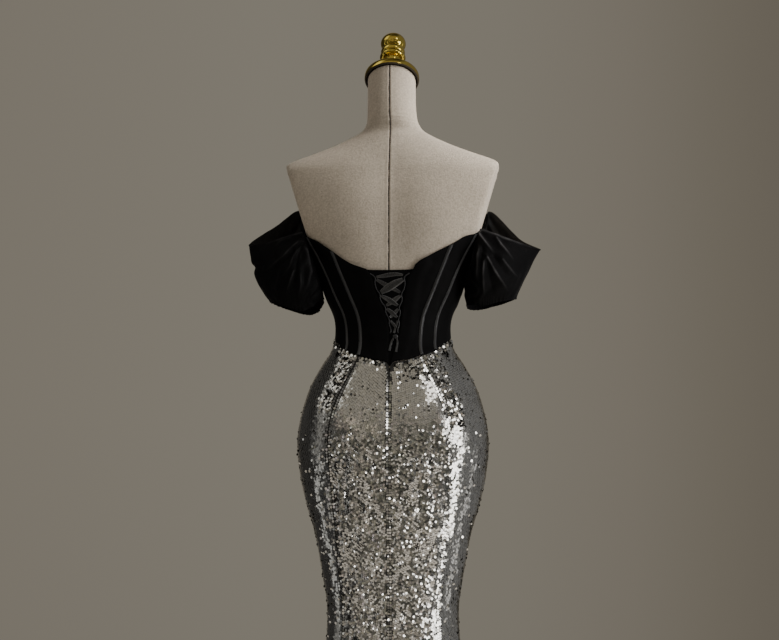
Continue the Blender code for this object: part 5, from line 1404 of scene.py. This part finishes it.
def sequins_on(name, left, right, side, seed, panel):
    """Sequins sewn in close staggered rows over one panel of the skirt."""
    random = np.random.default_rng(seed)
    slant = ROW_SLANT * side
    # The left princess seam gapes a little: the back panel's right edge and the side panel's left.
    gape = SEAM_GAPE if side < 0 else 0.0
    a, z, layer = sequin_places(left, right, slant, (0.0, gape) if panel == "back" else (gape, 0.0))
    a = a + arc_angle(skirt_surface, a, z, SEWN_ASTRAY) * random.normal(size=a.shape)
    z = z + SEWN_ASTRAY * random.normal(size=z.shape)
    top_edge = edge(WAIST_EDGE)
    keep = z < top_edge(a) - (0.9 + 0.8 * random.normal(size=z.shape)) * MM
    # Clear of the closed slit, and of the dark wedge where the waist comes to its point.
    clear = 0.6 * MM
    for more, low, high in SLIT_CLEAR:
        clear = clear + more * MM * smoothstep(z, low, high)
    keep &= np.abs(figure(a, z)[..., 0]) > np.where((np.cos(a) > 0), clear, 0)
    a, z, layer = a[keep], z[keep], layer[keep]
    p, n = skirt_surface(a, z), outward(skirt_surface, a, z)
    tangent = unit(crosswise(skirt_surface, a, z))
    up = unit(np.cross(n, tangent))
    near_left = np.abs(a - left(z)) / arc_angle(skirt_surface, a, z, 1.0)
    near_right = np.abs(right(z) - a) / arc_angle(skirt_surface, a, z, 1.0)
    near_seam = np.minimum(near_left, near_right)
    near_waist = top_edge(a) - z
    x = p[:, 0] * side
    from_back_seam = near_left if panel == "side" else near_right
    lively, ruffled, hip, share = how_they_lie(x, z, from_back_seam, near_seam, near_waist, panel)
    # The line beside each seam runs low down the back seam, and ends above the hip elsewhere.
    at_back = (panel == "back") & (near_left < near_right)
    ends = np.where(at_back, smoothstep(z, 0.80, 0.86), smoothstep(z, 0.95, 0.97))
    at_seam = (1 - smoothstep(near_seam, 3.4 * MM, 4.2 * MM)) * ends
    loose = random.uniform(size=a.shape) < np.where(at_seam > 0.5, np.clip(share, 0.10, 0.16), share)
    at_seam = np.where(loose, 0, at_seam)
    spread = np.where(loose, LOOSE_LEAN + RUFFLED_LEAN * ruffled, FIRM_LEAN + LIVELY_LEAN * lively)
    # Along each seam a line of sequins hangs plumb, pulled over towards it; so do many on the right hip.
    centre_pull = (-0.52 if side < 0 else -0.20) if panel == "back" else 0.0
    pull = np.where(near_left < near_right, centre_pull, 0.15 if panel == "back" else 0.0) * at_seam
    plumb = np.maximum(at_seam, (0.48 if side > 0 else 0.0) * hip)
    # The left side panel is drawn in a little beside its seam, from the knee up to the thigh.
    if panel == "side" and side < 0:
        pull = pull - 0.13 * (1 - smoothstep(z, 0.80, 0.86)) * (1 - smoothstep(near_left, 30 * MM, 60 * MM))
    def swell(seed):
        """The cloth's own unevenness under the sequins: broad, then finer where it is restless."""
        broad = 0.035 * ripple_on(p, 0.045, seed, (1, 1, 0.7))
        fine = 0.22 * ripple_on(p, 0.020, seed + 1, (1, 1, 0.7))
        finest = 0.18 * ripple_on(p, 0.009, seed + 2, (1, 1, 0.8))
        return broad + (0.06 + 0.94 * lively) * (fine + finest)

    # Where the cloth is restless, half of the loose ones have tipped over to the right.
    tipped = 0.30 * side * lively * loose * (random.uniform(size=a.shape) < 0.5)
    lean_t = spread * random.normal(size=a.shape) + swell(51) + pull + tipped
    lean_u = spread * random.normal(size=a.shape) + swell(55) - plumb * n[:, 2]
    lean_t, lean_u = np.clip(lean_t, -MOST_LEAN, MOST_LEAN), np.clip(lean_u, -MOST_LEAN, MOST_LEAN)
    # Here and there on the back one has swung right round: most face the window, so that they flash
    # in the light from it, and those far over on the left face away from it.
    near_slit = smoothstep(x, 0.010, 0.022) * smoothstep(z, 0.935, 0.960) * smoothstep(1.030 - z, 0, 0.030)
    stray = 0.045 * near_slit
    swung = (random.uniform(size=a.shape) < 0.040 * lively + stray) & (panel == "back")
    lean_t = np.where(swung, 0.5, lean_t)
    towards = np.where(x > -0.075, TO_THE_WINDOW, TO_THE_LEFT)
    bearing = side * np.radians(towards + 4.0 * random.normal(size=a.shape))
    rise = 0.10 * random.normal(size=a.shape)
    aside = np.stack([np.sin(bearing) * np.cos(rise), -np.cos(bearing) * np.cos(rise), np.sin(rise)], -1)
    face = unit(n + tangent * lean_t[:, None] + up * lean_u[:, None])
    face = np.where(swung[:, None], aside, face)
    t = unit(tangent - face * (tangent * face).sum(-1, keepdims=True))
    b = np.cross(face, t)
    # Each stands off the net by its layer, and further the more it leans.
    lift = 0.25 * MM + 0.16 * MM * layer + SEQUIN_RADIUS * np.minimum(0.75, np.hypot(lean_t, lean_u)) * 0.55
    turned = np.sqrt(np.clip(1 - (n * face).sum(-1) ** 2, 0, 1))
    lift = np.where(swung, 0.45 * MM + 0.62 * SEQUIN_RADIUS * turned, lift)
    centre = p + n * (skirt_gap(a, z) + 1.4 * MM + lift)[:, None]
    turn = np.arange(SEQUIN_CORNERS) * 2 * math.pi / SEQUIN_CORNERS + math.pi / 6 + slant
    size = SEQUIN_RADIUS * (1 + 0.03 * random.normal(size=a.shape)) * np.where(swung, SWUNG_SIZE, 1.0)
    around = t[:, None] * np.cos(turn)[None, :, None] + b[:, None] * np.sin(turn)[None, :, None]
    corners = mirror(centre[:, None] + size[:, None, None] * around, side)
    count = len(corners)
    faces = np.arange(count * SEQUIN_CORNERS).reshape(count, SEQUIN_CORNERS)
    mesh = quad_mesh(name, corners.reshape(-1, 3), faces, smooth=False)
    tone = np.clip(TONE + TONE_SPREAD * random.normal(size=count), 0.50, 0.98)
    warm = np.clip(0.5 + 0.5 * random.normal(size=count), 0, 1)
    colour = np.stack([tone, tone * (0.985 - 0.01 * warm), tone * (0.955 - 0.045 * warm), np.ones(count)], -1)
    # Painted shade: each is darker along the edge that its neighbour overlaps, so the rows show as a fine
    # slant hatch.
    overlap_shade = 1 - OVERLAP_SHADE * np.clip(np.cos(turn - math.radians(90 - 40 * side)), 0, 1) ** 2
    corner_colour = np.repeat(colour, SEQUIN_CORNERS, axis=0)
    corner_colour[:, :3] *= np.tile(overlap_shade, count)[:, None]
    layer = mesh.color_attributes.new("tone_and_overlap_shade", "FLOAT_COLOR", "POINT")
    layer.data.foreach_set("color", corner_colour.astype(np.float32).reshape(-1))
    thing = link(name, mesh, SEQUINS)
    return count


def skirt():
    back, front = seam(SKIRT_BACK_SEAM), seam(SKIRT_FRONT_SEAM)
    total = 0
    for side, sign in SIDES.items():
        panels = (("back", slit_angle, back, 40, 101), ("side", back, front, 90, 111))
        for panel, left, right, columns, seed in panels:
            skirt_base(f"net_{panel}_{side}", left, right, columns, sign, f"skirt_{panel}_{side}")
            total += sequins_on(f"sequins_{panel}_{side}", left, right, sign, seed + sign, panel)
    around = over_the_front(SKIRT_FRONT_SEAM)
    skirt_base("net_front", front, around, 80, 1, "skirt_front")
    total += sequins_on("sequins_front", front, around, 1, 121, "front")
    print("SEQUINS", total)


TAPE_FOOT, TAPE_TOP = 1.004, 1.0315
TOOTH_COUNT, TOOTH_STEP, TOOTH_SIZE = 22, 1.2 * MM, (1.5 * MM, 0.7 * MM, 0.75 * MM)
SLIDER_HEIGHT, SLIDER_SIZE = 1.018, (4.2 * MM, 2.0 * MM, 7.0 * MM)


def zip_pieces():
    half = float(angle_at(np.array(UNDERLAP / 2), np.array(1.02)))
    level_edge = lambda z: (lambda angle: 0 * angle + z)
    sides = lambda z: -half + 0 * z, lambda z: half + 0 * z
    a, z = patch(figure, *sides, level_edge(TAPE_FOOT), level_edge(TAPE_TOP), 12, np.linspace(0, 1, 13))
    inner, outer = (np.full(a.shape, CLOTH_GAP + level * MM) for level in (0.1, 0.8))
    inside, outside = sheet_of(figure, a, z, inner, outer)
    tape = shell("zip_tape_fine", inside, outside, SATIN)
    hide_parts("zip_tape")
    declare_cut(tape, outside, (0.0, 0.004))
    teeth = []
    for k in range(TOOTH_COUNT):
        x = 0.42 * MM * (1 if k % 2 else -1)
        middle = back_point(x, 1.0055 + k * TOOTH_STEP, CLOTH_GAP + 1.15 * MM)
        tooth = bmesh.new()
        bmesh.ops.create_cube(tooth, size=1)
        bmesh.ops.bevel(tooth, geom=tooth.edges[:], offset=0.2, segments=1, affect="EDGES")
        bmesh.ops.scale(tooth, vec=TOOTH_SIZE, verts=tooth.verts)
        bmesh.ops.translate(tooth, vec=Vector(middle), verts=tooth.verts)
        teeth.append(mesh_of("tooth", tooth))
    chain = joined("zip_teeth", teeth, ZIP_METAL)
    body = bmesh.new()
    bmesh.ops.create_cube(body, size=1)
    bmesh.ops.scale(body, vec=SLIDER_SIZE, verts=body.verts)
    for v in body.verts:
        if v.co.z < 0:
            v.co.x *= 0.78
    bmesh.ops.bevel(body, geom=body.edges[:], offset=0.75 * MM, segments=4, affect="EDGES")
    level = float(skirt_gap(np.array(0.0), np.array(SLIDER_HEIGHT))) + SEQUIN_CLOTH + 1.0 * MM + 0.9 * MM
    middle = back_point(0.0, SLIDER_HEIGHT, level)
    bmesh.ops.translate(body, vec=Vector(middle), verts=body.verts)
    mesh = mesh_of("zip_slider_fine", body)
    arch = [(-0.9 * MM, 2.6 * MM), (-1.9 * MM, 1.6 * MM), (-2.0 * MM, -0.6 * MM), (-0.9 * MM, -2.0 * MM)]
    bridge = tube_along("bridge", [middle + np.array([0, y, z]) for y, z in arch], 0.5 * MM, None, sides=8)
    mesh.shade_smooth()
    mesh.set_sharp_from_angle(angle=math.radians(50))
    slider = joined("zip_slider_fine", [mesh, bridge], ZIP_METAL)
    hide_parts("zip_slider")


# ---------------------------------------------------------------- the room

def backdrop_tone(r, g, b):
    return tuple(((v / 255 + 0.055) / 1.055) ** 2.4 for v in (r, g, b))


# Bearings from the gown's back (-Y) towards its right (+X), and the room's tone there: first up to
# about the height of the eye, then higher up.
BACKDROP = [
    (-180, backdrop_tone(124, 119, 108)), (180, backdrop_tone(124, 119, 108)),
    (-172, backdrop_tone(127, 122, 111)), (-160, backdrop_tone(122, 116, 105)),
    (160, backdrop_tone(90, 85, 75)), (167, backdrop_tone(97, 91, 81)), (172, backdrop_tone(108, 102, 91)),
    (176, backdrop_tone(119, 113, 102)),
]
# What the camera itself sees all round: the same plain backdrop, with no room in it.
PLAIN = BACKDROP + [
    (-120, backdrop_tone(119, 114, 103)), (-60, backdrop_tone(122, 117, 106)),
    (0, backdrop_tone(124, 119, 108)), (60, backdrop_tone(118, 113, 102)), (120, backdrop_tone(104, 99, 88)),
]
# How much of the room's light reaches the cloth as soft light.
SOFT_SHARE = [
    (-180, (1.0, 1.0, 1.0)), (180, (1.0, 1.0, 1.0)), (-130, (0.9, 0.9, 0.9)), (-100, (0.45, 0.43, 0.40)),
    (-40, (0.45, 0.43, 0.39)), (0, (0.98, 0.97, 0.95)), (40, (1.3, 1.3, 1.3)),
]
ROOM_LOW = BACKDROP + [
    (-140, (0.045, 0.043, 0.040)), (-93, (0.030, 0.029, 0.028)), (-86, (0.04, 0.04, 0.04)),
    (-84, (0.55, 0.55, 0.53)), (-77, (0.55, 0.55, 0.53)), (-75, (0.035, 0.035, 0.035)),
    (-57, (0.04, 0.04, 0.04)), (-54, (0.36, 0.36, 0.34)), (-48, (0.32, 0.31, 0.29)),
    (-42, (0.078, 0.076, 0.063)), (0, (0.078, 0.076, 0.063)), (38, (0.084, 0.081, 0.068)),
    (46, (0.13, 0.127, 0.122)), (84, (0.165, 0.164, 0.162)), (95, (0.165, 0.164, 0.162)),
    (97, (0.85, 0.84, 0.82)), (102, (0.85, 0.84, 0.82)), (104, (0.165, 0.164, 0.162)),
    (145, (0.15, 0.147, 0.142)),
]
ROOM_MIDDLE = BACKDROP + [
    (-140, (0.045, 0.043, 0.040)), (-94, (0.034, 0.033, 0.032)), (-86, (0.060, 0.059, 0.057)),
    (-78, (0.20, 0.197, 0.187)), (-70, (0.20, 0.197, 0.187)), (-64, (0.09, 0.088, 0.084)),
    (-52, (0.09, 0.087, 0.078)), (-42, (0.19, 0.177, 0.149)), (0, (0.21, 0.195, 0.165)),
    (38, (0.20, 0.188, 0.165)), (46, (0.15, 0.147, 0.142)), (84, (0.165, 0.164, 0.162)),
    (145, (0.15, 0.147, 0.142)),
]
ROOM_HIGH = BACKDROP + [
    (-140, (0.050, 0.048, 0.045)), (-94, (0.035, 0.034, 0.032)), (-88, (0.80, 0.785, 0.73)),
    (-56, (0.80, 0.785, 0.72)), (-50, (0.25, 0.233, 0.198)), (0, (0.285, 0.264, 0.222)),
    (40, (0.27, 0.253, 0.22)), (48, (0.19, 0.186, 0.178)), (84, (0.17, 0.169, 0.166)),
    (145, (0.15, 0.147, 0.142)),
]
# The tones of the things in the room, by how high the noise is there.
CLUTTER = [(0.30, 0.30), (0.46, 0.65), (0.55, 1.15), (0.66, 2.6)]
CLUTTER_SCALE, CLUTTER_TINT, CLUTTER_ABOVE = 7.0, 0.22, 0.84


def world():
    """The studio. The camera sees a plain backdrop all round. The gloss sees the room in its place:
    pale and uneven behind the camera, dim at both sides. The soft light is a share of the room's."""
    sky = bpy.data.worlds.new("studio")
    bpy.context.scene.world = sky
    n = Nodes(sky)
    direction = n.add("ShaderNodeTexCoord").outputs["Generated"]
    east, north, rise = n.add("ShaderNodeSeparateXYZ", {0: direction}).outputs
    south = n.times(north, -1.0)
    bearing = n.plus(n.math("DIVIDE", n.math("ARCTAN2", east, south), 2 * math.pi), 0.5)

    def around(stops):
        return n.ramp(bearing, [(degrees / 360 + 0.5, colour) for degrees, colour in sorted(stops)])

    middle = n.times(n.plus(rise, 0.14), 10.0, clamp=True)
    high = n.times(n.math("SUBTRACT", rise, 0.32), 7.0, clamp=True)
    room = n.mix(high, n.mix(middle, around(ROOM_LOW), around(ROOM_MIDDLE)), around(ROOM_HIGH))
    # Things in the room behind the camera: darker and lighter patches low down, none on the backdrop.
    values = {"Scale": CLUTTER_SCALE, "Detail": 2.0, "Vector": direction}
    clutter = n.add("ShaderNodeTexNoise", values)
    hue = n.mix(1.0, clutter.outputs[1], (2.0, 2.0, 2.0), "MULTIPLY")
    tinted = n.mix(CLUTTER_TINT, n.grey_ramp(clutter.outputs[0], CLUTTER), hue, "MULTIPLY")
    behind = n.times(n.plus(south, -0.30), 2.0, clamp=True)
    share = n.times(behind, n.math("SUBTRACT", 1.0, n.times(high, CLUTTER_ABOVE)))
    room = n.mix(share, room, tinted, "MULTIPLY")
    # The backdrop is a little darker low down, and the ceiling is dim.
    low = n.plus(n.times(rise, 0.30), 0.985, clamp=True)
    ceiling = n.times(n.math("SUBTRACT", rise, 0.78), 7.0, clamp=True)
    room = n.mix(1.0, room, low, "MULTIPLY")
    room = n.mix(1.0, room, n.math("SUBTRACT", 1.0, n.times(ceiling, 0.75)), "MULTIPLY")
    plain = n.mix(1.0, around(PLAIN), low, "MULTIPLY")
    path = n.add("ShaderNodeLightPath").outputs
    seen = n.mix(path["Is Diffuse Ray"], room, around(SOFT_SHARE), "MULTIPLY")
    seen = n.mix(path["Is Camera Ray"], seen, plain)
    background = n.tree.nodes["Background"].inputs
    n.put(background["Color"], seen)
    n.put(background["Strength"], 1.0)


WINDOW_TINT, SKY_TINT = (1.0, 0.985, 0.955), (1.0, 0.98, 0.95)
# Two tall windows on the right and a high one, which show in the gloss, and soft light that doesn't:
# from above, from both sides and on the front. The bearings are as the room's, the rest in metres, and
# each faces the middle at the height "aim".
Lamp = namedtuple("Lamp", "name bearing distance height size radiance colour aim in_gloss")
LAMPS = [
    Lamp("window_near", 65.5, 2.4, 0.66, (0.42, 2.02), 4.6, WINDOW_TINT, 0.66, True),
    Lamp("window_far", 52, 2.4, 1.30, (0.46, 0.70), 4.3, WINDOW_TINT, 1.30, True),
    Lamp("window_high", 38, 2.0, 2.75, (0.44, 0.70), 2.4, SKY_TINT, 1.0, True),
    Lamp("ceiling", 10, 0.5, 4.0, (4.0, 4.0), 0.20, SKY_TINT, 1.25, False),
    Lamp("soft_right", 66, 2.4, 1.17, (1.38, 2.26), 1.5, WINDOW_TINT, 1.17, False),
    Lamp("soft_high", 92, 2.1, 3.3, (2.0, 1.6), 14.5, (1.0, 0.965, 0.92), 1.25, False),
    Lamp("soft_left", -95, 3.0, 1.7, (1.6, 2.0), 1.50, (1.0, 0.94, 0.84), 1.25, False),
    Lamp("front_fill", 172, 3.6, 2.2, (2.6, 1.8), 2.6, (1.0, 0.985, 0.96), 1.05, False),
]


def lights():
    for lamp in LAMPS:
        light = bpy.data.lights.new(lamp.name, "AREA")
        light.shape = "RECTANGLE"
        light.size, light.size_y = lamp.size
        light.energy = lamp.radiance * math.pi * lamp.size[0] * lamp.size[1]
        light.color = lamp.colour
        thing = bpy.data.objects.new(lamp.name, light)
        bpy.context.scene.collection.objects.link(thing)
        turn = math.radians(lamp.bearing)
        place = Vector((lamp.distance * math.sin(turn), -lamp.distance * math.cos(turn), lamp.height))
        thing.location = place
        thing.rotation_euler = (Vector((0, 0, lamp.aim)) - place).to_track_quat("-Z", "Y").to_euler()
        thing.visible_glossy = lamp.in_gloss


FLOOR_RADIUS, FLOOR_SIDES = 1.7, 192


def floor():
    mesh = bpy.data.meshes.new("floor")
    turns = np.linspace(0, 2 * math.pi, FLOOR_SIDES + 1)[:-1]
    ring = [(FLOOR_RADIUS * math.cos(t), FLOOR_RADIUS * math.sin(t), 0.0) for t in turns]
    mesh.from_pydata(ring, [], [list(range(FLOOR_SIDES))])
    thing = bpy.data.objects.new("floor", mesh)
    bpy.context.scene.collection.objects.link(thing)
    n = new_material("pale_floor")
    tone = n.noise(n.place(), 3.0, 5.0, 0.6)
    n.set(Base_Color=n.mix(tone, (0.42, 0.40, 0.37), (0.50, 0.48, 0.445)), Roughness=0.75)
    mesh.materials.append(n.owner)


CAMERA_TURN = math.radians(4.0)  # from the centre back towards the wearer's right
CAMERA_AWAY, CAMERA_HEIGHT, CAMERA_AIM, CAMERA_ASIDE = 3.0, 0.80, 1.125, -0.0063
CAMERA_LENS, CAMERA_SENSOR = 77.5, 36  # mm


def camera():
    sine, cosine = math.sin(CAMERA_TURN), math.cos(CAMERA_TURN)
    place = Vector((CAMERA_AWAY * sine, -CAMERA_AWAY * cosine, CAMERA_HEIGHT))
    lens = bpy.data.cameras.new("camera")
    lens.lens, lens.sensor_width = CAMERA_LENS, CAMERA_SENSOR
    lens.clip_start, lens.clip_end = 0.05, 100
    thing = bpy.data.objects.new("camera", lens)
    bpy.context.scene.collection.objects.link(thing)
    thing.location = place + Vector((cosine, sine, 0)) * CAMERA_ASIDE
    thing.rotation_euler = (Vector((0, 0, CAMERA_AIM)) - place).to_track_quat("-Z", "Y").to_euler()
    bpy.context.scene.camera = thing


camera()
world()
lights()
floor()
form_seam(*form_cover())
brass_pieces()
stand()
bodice(boning_channels())
back_insert()
loops()
lacing()
knot_and_tails()
sleeve("right", RIGHT_SLEEVE, RIGHT_BACK, 61)
sleeve("left", LEFT_SLEEVE, LEFT_BACK, 71, notch=1.2215)
skirt()
zip_pieces()

bpy.context.view_layer.update()
